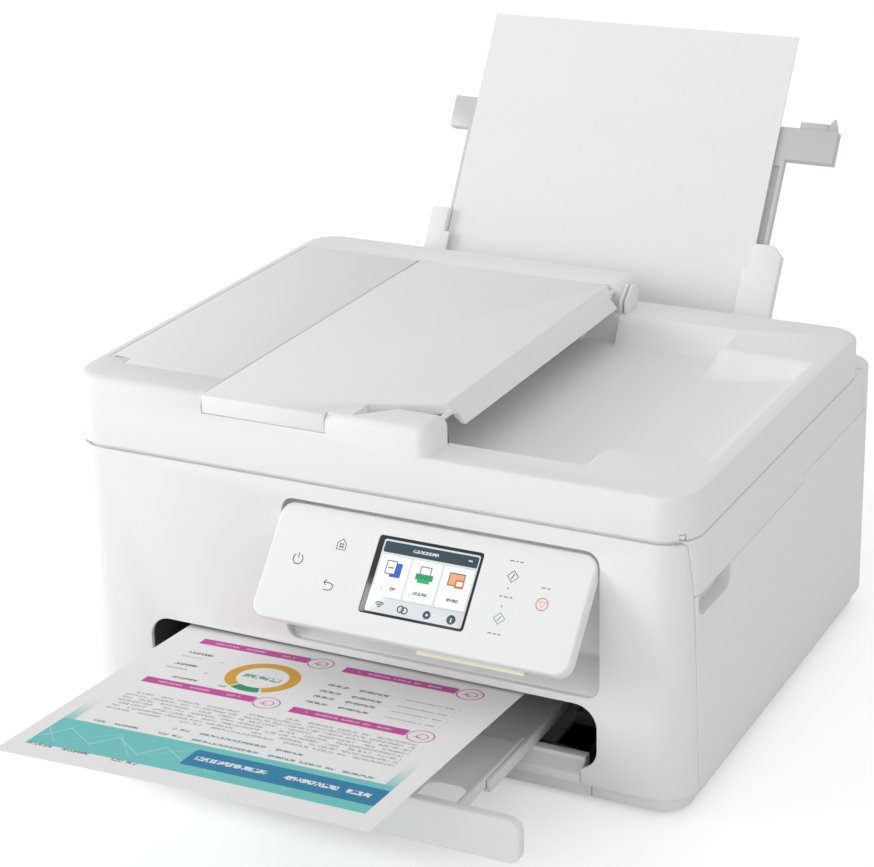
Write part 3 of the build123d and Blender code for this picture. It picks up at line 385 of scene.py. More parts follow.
# ------------------------------------------------------------------ finishes
@dataclass(frozen=True)
class Finish:
    """A surface finish: its colour, how it shines and how its texture stands."""

    name: str
    color: Color
    roughness: float = 0.45
    metallic: float = 0.0
    coat: float = 0.0
    grain: float = 0.05
    grain_scale: float = 1500.0
    drift: float = 0.03
    dust: float = 0.04
    wear: float = 0.0
    worn: Color = (1.0, 1.0, 1.0)
    sheen: float = 0.0
    seen_through: float = 0.0
    ior: float = 1.46
    soft_light: float = 0.0

    def material(self) -> bpy.types.Material:
        """Return this finish's material, made on first use."""
        made = bpy.data.materials.get(self.name)
        if made is None:
            made = bpy.data.materials.new(self.name)
            made.use_nodes = True
            made.node_tree.nodes.clear()
            self.wire(Graph(made.node_tree))
        return made

    def wire(self, graph: Graph) -> bpy.types.Node:
        """Join the finish's nodes.

        Args:
            graph: The material's empty tree.

        Returns:
            The surface shader.
        """
        output = graph.add("ShaderNodeOutputMaterial")
        shader = graph.add("ShaderNodeBsdfPrincipled")
        graph.put(output.inputs["Surface"], shader.outputs[0])
        place = graph.add("ShaderNodeTexCoord").outputs["Object"]
        shader.inputs["Metallic"].default_value = self.metallic
        shader.inputs["Coat Weight"].default_value = self.coat
        shader.inputs["Coat Roughness"].default_value = 0.12
        shader.inputs["IOR"].default_value = self.ior
        shader.inputs["Transmission Weight"].default_value = self.seen_through
        if self.sheen:
            shader.inputs["Sheen Weight"].default_value = self.sheen
        if self.soft_light:
            shader.inputs["Subsurface Weight"].default_value = self.soft_light
            shader.inputs["Subsurface Radius"].default_value = (0.004, 0.004, 0.004)
            shader.inputs["Subsurface Scale"].default_value = 0.5
        tone = graph.use(TONE.tree(), Vector=place, Color=self.base(graph, place), Amount=self.drift)
        color = tone.outputs["Color"]
        if self.wear:
            color = graph.use(
                WEAR.tree(), Vector=place, Color=color, Worn=self.worn, Amount=self.wear
            ).outputs["Color"]
        film = graph.use(DUST.tree(), Vector=place, Color=color, Amount=self.dust)
        graph.put(shader.inputs["Base Color"], film.outputs["Color"])
        grain = graph.use(GRAIN.tree(), Vector=place, Scale=self.grain_scale)
        rough = graph.plus(graph.times(grain.outputs["Mask"], 0.10), self.roughness - 0.05)
        rough = graph.plus(rough, graph.times(film.outputs["Mask"], 0.5), clamp=True)
        graph.put(shader.inputs["Roughness"], rough)
        bump = graph.add("ShaderNodeBump")
        bump.inputs["Strength"].default_value = self.grain
        bump.inputs["Distance"].default_value = 0.0001
        graph.put(bump.inputs["Height"], self.height(graph, place, grain.outputs["Height"]))
        graph.put(shader.inputs["Normal"], bump.outputs[0])
        return shader

    def base(self, graph: Graph, place: bpy.types.NodeSocket) -> object:
        """Return the plain colour under the drift."""
        return self.color

    def height(self, graph: Graph, place: bpy.types.NodeSocket, grain: bpy.types.NodeSocket) -> object:
        """Return what stands up from the surface."""
        return grain


@dataclass(frozen=True)
class BrushedFinish(Finish):
    """Metal with fine lines drawn along one axis."""

    along: Color = (1.0, 0.04, 1.0)

    def height(self, graph: Graph, place: bpy.types.NodeSocket, grain: bpy.types.NodeSocket) -> object:
        """Stretch the pattern along the lines."""
        node = graph.add("ShaderNodeMapping")
        node.inputs["Scale"].default_value = self.along
        graph.put(node.inputs["Vector"], place)
        return graph.noise(node.outputs[0], self.grain_scale, 2.0)


@dataclass(frozen=True)
class StripedFinish(Finish):
    """A surface with even ribs or lines across one axis, such as belt teeth."""

    axis: str = "X"
    pitch: float = 0.002
    line: Color = INK_BLACK
    share: float = 0.5

    def ribs(self, graph: Graph, place: bpy.types.NodeSocket) -> bpy.types.NodeSocket:
        """Return one on a rib and nought between ribs."""
        parts = graph.add("ShaderNodeSeparateXYZ")
        graph.put(parts.inputs[0], place)
        phase = graph.math("FRACT", graph.math("DIVIDE", parts.outputs[self.axis], self.pitch))
        return graph.math("LESS_THAN", phase, self.share)

    def base(self, graph: Graph, place: bpy.types.NodeSocket) -> object:
        """Paint the ribs in their own colour."""
        return graph.mix(self.ribs(graph, place), self.color, self.line)

    def height(self, graph: Graph, place: bpy.types.NodeSocket, grain: bpy.types.NodeSocket) -> object:
        """Raise the ribs over the grain."""
        return graph.plus(graph.times(self.ribs(graph, place), 3.0), grain)


@dataclass(frozen=True)
class FibreFinish(Finish):
    """Paper or felt: fibres that lie every way."""

    fibre: float = 0.04

    def base(self, graph: Graph, place: bpy.types.NodeSocket) -> object:
        """Cloud the colour as fibres do."""
        cloud = graph.noise(place, 420.0, 6.0, 0.7)
        dark = tuple(part * (1.0 - self.fibre) for part in self.color)
        return graph.mix(cloud, dark, self.color)

    def height(self, graph: Graph, place: bpy.types.NodeSocket, grain: bpy.types.NodeSocket) -> object:
        """Let the fibres stand a little."""
        return graph.noise(place, 2600.0, 5.0, 0.7)


@dataclass(frozen=True)
class GlowFinish(Finish):
    """A milky light guide, lit from within."""

    power: float = 1.0

    def wire(self, graph: Graph) -> bpy.types.Node:
        """Add the glow, tinted warmer in soft patches."""
        shader = super().wire(graph)
        place = graph.add("ShaderNodeTexCoord").outputs["Object"]
        cloud = graph.noise(place, 18.0, 1.0)
        graph.put(shader.inputs["Emission Color"], graph.mix(cloud, self.color, (1.0, 0.93, 0.62)))
        shader.inputs["Emission Strength"].default_value = self.power
        return shader


@dataclass(frozen=True)
class Ink:
    """One printed mark, in millimetres on its sheet: centre, size and colour."""

    kind: Mark
    x: float
    y: float
    wide: float
    high: float
    color: Color
    extra: float = 0.3
    start: float = 0.0
    turns: float = 1.1


@dataclass(frozen=True)
class PrintedFinish(Finish):
    """A flat sheet or screen with marks laid over its colour by its own UV map."""

    wide: float = 210.0
    high: float = 297.0
    marks: tuple[Ink, ...] = ()
    power: float = 0.0

    def wire(self, graph: Graph) -> bpy.types.Node:
        """Light the marks where the sheet is a screen."""
        shader = super().wire(graph)
        if self.power:
            face = graph.add("ShaderNodeTexCoord")
            graph.put(shader.inputs["Emission Color"], self.base(graph, face.outputs["Object"]))
            shader.inputs["Emission Strength"].default_value = self.power
        return shader

    def base(self, graph: Graph, place: bpy.types.NodeSocket) -> object:
        """Lay the marks one after another."""
        flat = graph.add("ShaderNodeSeparateXYZ")
        graph.put(flat.inputs[0], graph.add("ShaderNodeTexCoord").outputs["UV"])
        across = graph.times(graph.less(flat.outputs["X"], 0.5), self.wide)
        along = graph.times(flat.outputs["Y"], self.high)
        color: object = self.color
        for mark in self.marks:
            color = graph.mix(self.mask(graph, mark, across, along), color, mark.color)
        return color

    def mask(self, graph: Graph, mark: Ink, across: object, along: object) -> bpy.types.NodeSocket:
        """Return where one mark lies.

        Args:
            graph: The material's tree.
            mark: The mark.
            across: Millimetres from the sheet's middle line.
            along: Millimetres from the sheet's near edge.

        Returns:
            One on the mark, nought off it.
        """
        spot = {"U": across, "V": along, "Centre_U": mark.x, "Centre_V": mark.y}
        if mark.kind in (Mark.RING, Mark.ARC):
            node = graph.use(
                RING_MASK.tree(), **spot, Radius=mark.wide, Width=mark.high,
                Start=mark.start, Turns=mark.turns,
            )
            return node.outputs["Mask"]
        corner = mark.extra if mark.kind is Mark.BOX else 0.05
        box = graph.use(
            BOX_MASK.tree(), **spot, Half_U=mark.wide / 2, Half_V=mark.high / 2, Corner=corner
        ).outputs["Mask"]
        if mark.kind is Mark.WORDS:
            start = mark.y - mark.high / 2
            shifted = graph.less(along, start - 50 * mark.extra)
            words = graph.use(WORD_MASK.tree(), U=across, V=shifted, Pitch=mark.extra)
            return graph.times(box, words.outputs["Mask"])
        if mark.kind is Mark.FADE:
            low = mark.y - mark.high / 2
            fall = graph.math("DIVIDE", graph.less(along, low), mark.high)
            left = graph.math("POWER", graph.less(1.0, fall, clamp=True), 1.5)
            return graph.times(box, left)
        if mark.kind is Mark.LINE:
            wave = graph.add("ShaderNodeMath", operation="PINGPONG")
            graph.put(wave.inputs[0], graph.plus(across, graph.times(along, mark.start)))
            wave.inputs[1].default_value = mark.extra
            level = graph.plus(wave.outputs[0], mark.y - mark.extra / 2)
            off = graph.math("ABSOLUTE", graph.less(along, level))
            thin = graph.math("LESS_THAN", off, 0.35)
            return graph.times(graph.times(box, thin), 0.8)
        return box


# ------------------------------------------------------------------ workshop
Test = Callable[[Vector, Vector], bool]


class Bench:
    """Modelling steps shared by the pieces, each done with Blender's own operators."""

    @staticmethod
    def pick(piece: bpy.types.Object) -> None:
        """Select one piece and nothing else, and make it active."""
        bpy.ops.object.select_all(action="DESELECT")
        piece.select_set(True)
        bpy.context.view_layer.objects.active = piece

    @staticmethod
    @contextmanager
    def editing() -> Iterator[None]:
        """Hold the picked piece in edit mode for the lines inside."""
        bpy.ops.object.mode_set(mode="EDIT")
        yield
        bpy.ops.object.mode_set(mode="OBJECT")

    @staticmethod
    def settle(piece: bpy.types.Object, name: str) -> bpy.types.Object:
        """Put a piece's place, turn and size into its mesh, and name it.

        Args:
            piece: The piece.
            name: Its name.

        Returns:
            The same piece.
        """
        Bench.pick(piece)
        bpy.ops.object.transform_apply(location=True, rotation=True, scale=True)
        piece.name = name
        piece.data.name = name
        return piece

    @staticmethod
    def block(name: str, low: Point, high: Point) -> bpy.types.Object:
        """Start a piece as a box between two corners.

        Args:
            name: The piece's name.
            low: Lowest corner in metres.
            high: Highest corner in metres.

        Returns:
            The box, with its place in its mesh.
        """
        middle = [(a + b) / 2 for a, b in zip(low, high)]
        bpy.ops.object.select_all(action="DESELECT")
        bpy.ops.mesh.primitive_cube_add(size=1.0, location=middle)
        piece = bpy.context.active_object
        piece.scale = [b - a for a, b in zip(low, high)]
        return Bench.settle(piece, name)

    @staticmethod
    def choose_edges(piece: bpy.types.Object, wanted: Test) -> None:
        """Select the edges that pass a test, and nothing else, ready for edit mode.

        Args:
            piece: The piece.
            wanted: Told an edge's middle and direction, says whether it is wanted.
        """
        Bench.pick(piece)
        bpy.context.tool_settings.mesh_select_mode = (False, True, False)
        mesh = piece.data
        for part in (*mesh.vertices, *mesh.polygons):
            part.select = False
        for edge in mesh.edges:
            first, last = (mesh.vertices[i].co for i in edge.vertices)
            edge.select = wanted((first + last) / 2, (last - first).normalized())

    @staticmethod
    def choose_faces(piece: bpy.types.Object, wanted: Test) -> None:
        """Select the faces that pass a test, and nothing else, ready for edit mode.

        Args:
            piece: The piece.
            wanted: Told a face's middle and normal, says whether it is wanted.
        """
        Bench.pick(piece)
        bpy.context.tool_settings.mesh_select_mode = (False, False, True)
        mesh = piece.data
        for part in (*mesh.vertices, *mesh.edges):
            part.select = False
        for face in mesh.polygons:
            face.select = wanted(face.center, face.normal)

    @staticmethod
    def round_edges(piece: bpy.types.Object, wanted: Test, radius: float, steps: int = 4) -> None:
        """Round the edges that pass a test.

        Args:
            piece: The piece.
            wanted: Told an edge's middle and direction, says whether it is wanted.
            radius: The rounding in metres.
            steps: How many faces make the rounding.
        """
        Bench.choose_edges(piece, wanted)
        with Bench.editing():
            bpy.ops.mesh.bevel(offset=radius, segments=steps, affect="EDGES")

    @staticmethod
    def modify(piece: bpy.types.Object, kind: str, **settings: object) -> None:
        """Add a modifier with its settings and apply it."""
        Bench.pick(piece)
        modifier = piece.modifiers.new(kind.lower(), kind)
        for name, value in settings.items():
            setattr(modifier, name, value)
        bpy.ops.object.modifier_apply(modifier=modifier.name)

    @staticmethod
    def cut(piece: bpy.types.Object, tool: bpy.types.Object, how: Cut = Cut.TAKE) -> None:
        """Use one solid on another and throw the first away.

        Args:
            piece: The piece that stays.
            tool: The solid used on it.
            how: Whether the tool is taken away or joined.
        """
        Bench.modify(piece, "BOOLEAN", object=tool, operation=how.value, solver="EXACT")
        bpy.data.objects.remove(tool)

    @staticmethod
    def smooth(piece: bpy.types.Object, turn: float = 32.0) -> None:
        """Shade a piece smooth except where it turns by more than an angle in degrees."""
        Bench.pick(piece)
        bpy.ops.object.shade_smooth_by_angle(angle=radians(turn))

    @staticmethod
    def tidy(piece: bpy.types.Object) -> None:
        """Merge doubled points and turn every face outwards."""
        Bench.pick(piece)
        with Bench.editing():
            bpy.ops.mesh.select_all(action="SELECT")
            bpy.ops.mesh.remove_doubles(threshold=1e-6)
            bpy.ops.mesh.normals_make_consistent(inside=False)

    @staticmethod
    def skin(node: str, edge: float = 0.35, turn: float = 50.0) -> bpy.types.Object:
        """Copy a frame node as one welded solid, with its sharp edges broken.

        Args:
            node: The node's name.
            edge: How much is taken off each sharp edge, in millimetres.
            turn: Edges sharper than this many degrees are broken.

        Returns:
            The copy, shown in place of the node.
        """
        source = frame["nodes"][node]
        piece = bpy.data.objects.new(f"{node}_skin", source.data.copy())
        bpy.context.scene.collection.objects.link(piece)
        piece.data.materials.clear()
        Bench.tidy(piece)
        with Bench.editing():
            bpy.ops.mesh.select_all(action="SELECT")
            bpy.ops.mesh.dissolve_limited(angle_limit=radians(0.4))
        if piece.data.has_custom_normals:
            bpy.ops.mesh.customdata_custom_splitnormals_clear()
        if edge:
            Bench.modify(
                piece, "BEVEL", width=edge * MM, segments=2, limit_method="ANGLE",
                angle_limit=radians(turn), use_clamp_overlap=False, harden_normals=False,
            )
        Bench.smooth(piece)
        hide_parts(node)
        return piece


def mm(place: Point) -> list[float]:
    """Turn a place in millimetres into metres."""
    return [value * MM for value in place]


def body_of(node: str) -> str:
    """Return the name of the body that a frame node moves with."""
    return str(frame["nodes"][node]["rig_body"])


def finish_piece(piece: bpy.types.Object, finish: Finish, body: str) -> bpy.types.Object:
    """Dress a finished piece and hang it on its body.

    Args:
        piece: The piece, with its place in its mesh.
        finish: Its surface finish.
        body: The body that carries it.

    Returns:
        The same piece.
    """
    piece.data.materials.clear()
    piece.data.materials.append(finish.material())
    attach(piece, body)
    LOG.info("%s rides on %s", piece.name, body)
    return piece


def dress_node(node: str, finish: Finish) -> None:
    """Give a frame node that stays in view its finish."""
    item = frame["nodes"][node]
    item.data.materials.clear()
    item.data.materials.append(finish.material())
    LOG.info("%s is dressed", node)


def dress_skin(node: str, finish: Finish, edge: float = 0.35, turn: float = 50.0) -> bpy.types.Object:
    """Show a node as a welded copy with broken edges, dressed and riding on its body."""
    return finish_piece(Bench.skin(node, edge, turn), finish, body_of(node))


# ------------------------------------------------------------------ the machine's finishes
def flat_ink(name: str, color: Color) -> Finish:
    """Return a printed ink with no texture of its own."""
    return Finish(name, color, roughness=0.6, grain=0.0, dust=0.0)


CASE = Finish(
    "white_case", WHITE, roughness=0.42, grain=0.10, grain_scale=1900, drift=0.012, dust=0.02, wear=0.10
)
INNER = Finish("white_inner", INNER_WHITE, roughness=0.38, grain=0.05, grain_scale=1500, drift=0.03)
SMOKE = Finish("smoked_white", (0.66, 0.665, 0.67), roughness=0.30, grain=0.04, seen_through=0.06, coat=0.15)
BLACK = Finish("black_inner", INK_BLACK, roughness=0.36, grain=0.10, drift=0.10, dust=0.05)
TANK = Finish("ink_tank", (0.05, 0.05, 0.055), roughness=0.22, coat=0.3, grain=0.03)
RUBBER = Finish(
    "soft_rubber", (0.035, 0.035, 0.036), roughness=0.75, grain=0.30, grain_scale=1100, drift=0.15, sheen=0.2
)
STEEL = BrushedFinish("plated_steel", (0.56, 0.57, 0.58), roughness=0.34, metallic=1.0, grain=0.12, wear=0.2)
ROD = BrushedFinish(
    "ground_rod", (0.66, 0.66, 0.67), roughness=0.14, metallic=1.0, grain=0.05, along=(0.03, 1.0, 1.0)
)
BELT = StripedFinish("toothed_belt", (0.03, 0.03, 0.03), roughness=0.6, grain=0.5, axis="X", pitch=0.002)
STRIP = StripedFinish(
    "encoder_film", (0.55, 0.56, 0.57), roughness=0.12, axis="X", pitch=0.0008, line=(0.1, 0.1, 0.1),
    seen_through=0.5,
)
GLASS = Finish(
    "float_glass", (0.86, 0.93, 0.91), roughness=0.04, grain=0.0, drift=0.01, seen_through=1.0, ior=1.52
)
PAPER = FibreFinish(
    "copier_paper", (0.90, 0.90, 0.90), roughness=0.82, grain=0.12, drift=0.01, dust=0.0, soft_light=0.05
)
FELT = FibreFinish("pressed_felt", (0.72, 0.70, 0.66), roughness=0.95, grain=0.6, sheen=0.4, fibre=0.25)
BOARD = Finish(
    "solder_mask", (0.012, 0.13, 0.06), roughness=0.35, coat=0.4, grain=0.15, grain_scale=500, drift=0.15
)
FOAM = FibreFinish("white_foam", (0.84, 0.84, 0.83), roughness=0.9, grain=0.4, fibre=0.08)
LAMP = GlowFinish("light_guide", (0.95, 0.93, 0.77), roughness=0.4, power=0.2)
GREY_INK = flat_ink("grey_ink", (0.05, 0.05, 0.055))
PALE_INK = flat_ink("pale_ink", (0.14, 0.14, 0.145))
TEAL_INK = flat_ink("teal_ink", (0.01, 0.36, 0.32))
ORANGE_INK = flat_ink("orange_ink", (0.76, 0.23, 0.05))

MAGENTA: Color = (0.60, 0.07, 0.36)
GOLD: Color = (0.76, 0.40, 0.04)
GREEN: Color = (0.02, 0.32, 0.16)
TEAL: Color = (0.17, 0.60, 0.58)
TITLE_BLUE: Color = (0.02, 0.23, 0.42)
DEEP_TEAL: Color = (0.02, 0.20, 0.22)
PRINT_GREY: Color = (0.10, 0.10, 0.11)
SOFT_GREY: Color = (0.42, 0.42, 0.43)
PAPER_WHITE: Color = (0.90, 0.90, 0.90)


def report_marks() -> tuple[Ink, ...]:
    """Lay out an invented one-page report of bars, a ring chart and unreadable rows.

    Returns:
        The marks in the order they are printed.
    """
    box, ring, arc, words, fade = Mark.BOX, Mark.RING, Mark.ARC, Mark.WORDS, Mark.FADE
    marks = [
        Ink(box, -0.5, 33.0, 190.5, 33.5, TEAL, 0.1),
        Ink(fade, -0.5, 66.5, 190.5, 34.0, TEAL),
        Ink(box, -0.3, 70.0, 178.4, 39.0, PAPER_WHITE, 0.5),
        Ink(Mark.LINE, -50.0, 33.0, 88.0, 30.0, (0.75, 0.90, 0.89), 14.0, 0.35),
        Ink(Mark.LINE, -20.0, 33.0, 150.0, 32.0, (0.45, 0.76, 0.75), 22.0, -0.2),
        Ink(box, 41.0, 35.0, 107.5, 19.0, TITLE_BLUE, 1.6),
        Ink(words, 40.0, 35.2, 97.0, 8.0, (0.95, 0.95, 0.95), 8.0),
        Ink(words, -63.0, 15.2, 65.0, 4.6, PRINT_GREY, 4.6),
        Ink(words, 0.5, 54.2, 161.0, 4.2, DEEP_TEAL, 4.2),
        Ink(words, 0.5, 62.4, 76.0, 4.2, DEEP_TEAL, 4.2),
        Ink(words, 0.0, 84.0, 167.5, 28.0, SOFT_GREY, 4.0),
        Ink(words, 45.5, 100.0, 75.0, 4.0, SOFT_GREY, 4.0),
        Ink(words, -59.0, 123.8, 36.0, 4.6, PRINT_GREY, 4.6),
        Ink(words, -72.0, 141.8, 22.0, 5.4, PRINT_GREY, 5.4),
        Ink(words, -72.0, 159.2, 25.0, 5.4, PRINT_GREY, 5.4),
        Ink(words, -72.0, 153.0, 26.0, 2.8, (0.62, 0.52, 0.12), 2.8),
        Ink(words, -72.0, 135.6, 26.0, 2.8, (0.10, 0.42, 0.30), 2.8),
        Ink(words, -29.5, 143.0, 22.0, 8.5, GREEN, 8.5),
        Ink(arc, -29.5, 143.6, 17.6, 6.4, GOLD, 0.3, 0.82, 0.84),
        Ink(arc, -29.5, 143.6, 17.6, 6.4, GREEN, 0.3, 0.67, 0.14),
    ]
    for middle, row in ((38.0, 112.0), (38.0, 174.6), (-52.5, 114.6), (-52.5, 177.2)):
        left = middle > 0
        hub = 79.8 if left else -11.0
        marks.append(Ink(box, middle, row, 67.6, 7.6, MAGENTA, 0.2))
        marks.append(Ink(words, middle, row, 50.0, 3.6, (0.86, 0.60, 0.76), 3.6))
        marks.append(Ink(box, hub, row - 1.0, 15.0, 15.0, PAPER_WHITE, 7.4))
        marks.append(Ink(ring, hub, row - 1.0, 7.2, 0.7, MAGENTA))
        marks.append(Ink(ring, hub + 1.0, row - 1.0, 3.0, 0.6, MAGENTA))
        marks.append(Ink(box, hub - 1.5, row - 2.2, 4.6, 0.7, MAGENTA, 0.2))
    for row in (125.4, 134.0, 141.8, 151.2):
        marks.append(Ink(words, 25.5, row, 38.0, 4.8, PRINT_GREY, 4.8))
        marks.append(Ink(words, 68.0, row, 32.0, 3.0, SOFT_GREY, 3.0))
        marks.append(Ink(box, 44.0, row - 3.4, 80.0, 0.25, (0.66, 0.66, 0.67), 0.1))
    return tuple(marks)


def screen_marks() -> tuple[Ink, ...]:
    """Lay out the touch screen: a header, three cards with plain icons and a row of small icons.

    Returns:
        The marks in the order they are drawn.
    """
    box, ring, words = Mark.BOX, Mark.RING, Mark.WORDS
    slate, pale, dark = (0.022, 0.055, 0.075), (0.70, 0.73, 0.75), (0.03, 0.07, 0.10)
    marks = [
        Ink(box, 0.9, 21.6, 56.8, 40.4, pale, 1.2),
        Ink(box, 1.0, 37.7, 55.4, 6.2, slate, 1.0),
        Ink(words, -2.0, 37.7, 15.0, 3.0, (0.85, 0.88, 0.9), 3.0),
        Ink(box, 24.2, 38.0, 2.4, 0.7, (0.8, 0.84, 0.86), 0.2),
        Ink(box, 0.9, 9.9, 56.0, 0.25, (0.45, 0.48, 0.5), 0.1),
    ]
    cards = ((-17.7, (0.03, 0.13, 0.60)), (0.9, (0.02, 0.34, 0.12)), (19.5, (0.70, 0.16, 0.04)))
    for middle, color in cards:
        marks.append(Ink(box, middle, 21.9, 17.4, 22.6, (0.93, 0.94, 0.95), 1.2))
        marks.append(Ink(words, middle, 15.2, 8.4, 3.2, (0.05, 0.05, 0.06), 3.2))
    marks += [
        Ink(box, -16.2, 25.6, 6.4, 8.0, cards[0][1], 0.4),
        Ink(box, -19.4, 26.8, 6.2, 7.6, (0.04, 0.05, 0.09), 0.5),
        Ink(box, -19.4, 26.8, 5.2, 6.6, (0.93, 0.94, 0.95), 0.3),
        Ink(box, -19.4, 26.6, 3.6, 0.6, cards[0][1], 0.1),
        Ink(box, 0.9, 27.2, 6.6, 6.6, (0.04, 0.10, 0.07), 0.5),
        Ink(box, 0.9, 27.2, 5.6, 5.6, (0.93, 0.94, 0.95), 0.3),
        Ink(box, 0.9, 24.6, 10.2, 3.4, cards[1][1], 0.5),
        Ink(box, 0.9, 22.4, 7.2, 2.2, (0.03, 0.42, 0.16), 0.3),
        Ink(box, 19.3, 26.6, 9.2, 7.2, (0.10, 0.04, 0.03), 0.5),
        Ink(box, 19.3, 26.6, 8.2, 6.2, (0.85, 0.40, 0.22), 0.3),
        Ink(box, 21.6, 24.4, 5.2, 4.6, cards[2][1], 0.3),
        Ink(box, 21.6, 24.6, 3.4, 2.4, (0.93, 0.94, 0.95), 0.2),
    ]
    for reach in (1.0, 2.2, 3.4):
        marks.append(Ink(Mark.ARC, -20.0, 3.8, reach, 0.7, dark, 0.2, 0.125, 0.25))
    marks += [
        Ink(ring, -7.2, 5.4, 1.7, 0.7, dark),
        Ink(ring, -4.8, 5.0, 1.7, 0.7, dark),
        Ink(ring, 8.4, 5.1, 1.5, 1.6, dark),
        Ink(ring, 22.6, 5.1, 1.3, 2.6, dark),
        Ink(box, 22.6, 4.9, 0.6, 2.4, (0.93, 0.94, 0.95), 0.1),
    ]
    return tuple(marks)


# ------------------------------------------------------------------ sub-assemblies
@dataclass
class Studio:
    """Camera, floor and soft lights."""

    eye: Point = (591.45, -1217.06, 670.05)
    azimuth: float = 27.19
    elevation: float = 21.49
    roll: float = -1.44
    lens: float = 101.34
    floor_size: float = 30.0
    floor_glow: float = 0.36
    lights: dict[str, tuple[Point, Point, float, float]] = field(
        default_factory=lambda: {
            "front": ((-0.2, -2.4, 0.8), (0.0, 0.0, 0.1), 1.6, 5.5),
            "left": ((-2.0, -1.2, 0.9), (0.0, 0.0, 0.12), 1.2, 22.0),
        }
    )

    def build(self) -> None:
        """Make the camera, the floor, the lights and the pale surroundings."""
        self.camera()
        self.floor()
        for name, (place, aim, size, power) in self.lights.items():
            self.light(name, place, aim, size, power)
        world = bpy.data.worlds.new("pale_room")
        bpy.context.scene.world = world
        world.use_nodes = True
        shade = world.node_tree.nodes["Background"]
        shade.inputs["Color"].default_value = (1.0, 1.0, 1.0, 1.0)
        shade.inputs["Strength"].default_value = 0.66
        bpy.context.scene.view_settings.view_transform = "Standard"

    def camera(self) -> None:
        """Aim the camera from its azimuth, elevation and roll."""
        turn, rise, roll = radians(self.azimuth), radians(self.elevation), radians(self.roll)
        back = Vector((sin(turn) * cos(rise), -cos(turn) * cos(rise), sin(rise)))
        level = (-back).cross(Vector((0, 0, 1))).normalized()
        upright = level.cross(-back)
        right = cos(roll) * level + sin(roll) * upright
        top = -sin(roll) * level + cos(roll) * upright
        data = bpy.data.cameras.new("camera")
        data.lens = self.lens
        data.sensor_width = 36.0
        data.clip_end = 100.0
        camera = bpy.data.objects.new("camera", data)
        bpy.context.scene.collection.objects.link(camera)
        turned = Matrix((right, top, back)).transposed().to_4x4()
        camera.matrix_world = Matrix.Translation(Vector(self.eye) * MM) @ turned
        bpy.context.scene.camera = camera

    def floor(self) -> None:
        """Lay a plain pale floor."""
        bpy.ops.object.select_all(action="DESELECT")
        bpy.ops.mesh.primitive_plane_add(size=self.floor_size)
        floor = bpy.context.active_object
        floor.name = "floor"
        finish = Finish("pale_floor", (0.93, 0.93, 0.93), roughness=0.9, grain=0.0, drift=0.004, dust=0.0)
        material = finish.material()
        floor.data.materials.append(material)
        shader = next(n for n in material.node_tree.nodes if n.type == "BSDF_PRINCIPLED")
        graph = Graph(material.node_tree)
        seen = graph.add("ShaderNodeLightPath").outputs["Is Camera Ray"]
        shader.inputs["Emission Color"].default_value = (1.0, 1.0, 1.0, 1.0)
        graph.put(shader.inputs["Emission Strength"], graph.times(seen, self.floor_glow))

    def light(self, name: str, place: Point, aim: Point, size: float, power: float) -> None:
        """Hang one soft light.

        Args:
            name: The light's name.
            place: Where it hangs.
            aim: What it looks at.
            size: Its width in metres.
            power: Its power in watts.
        """
        data = bpy.data.lights.new(name, "AREA")
        data.size = size
        data.energy = power
        light = bpy.data.objects.new(name, data)
        bpy.context.scene.collection.objects.link(light)
        light.location = place
        light.rotation_mode = "QUATERNION"
        light.rotation_quaternion = (Vector(aim) - Vector(place)).to_track_quat("-Z", "Y")


@dataclass
class CaseShell:
    """Outer walls, the floor pan, the panel's pocket and the mouth."""

    edge: float = 0.45

    def build(self) -> None:
        """Show the case's nodes with broken edges and dress them."""
        for node in ("lower_shell", "front_cover", "rear_case", "base_tray", "scanner_case"):
            dress_skin(node, CASE, self.edge)
        dress_skin("panel_recess", INNER, 0.8)
        dress_skin("rubber_feet", RUBBER, 0.0)
        dress_skin("case_screws", STEEL, 0.3)
        dress_skin("output_duct", BLACK, 0.4)
        dress_node("status_light", LAMP)


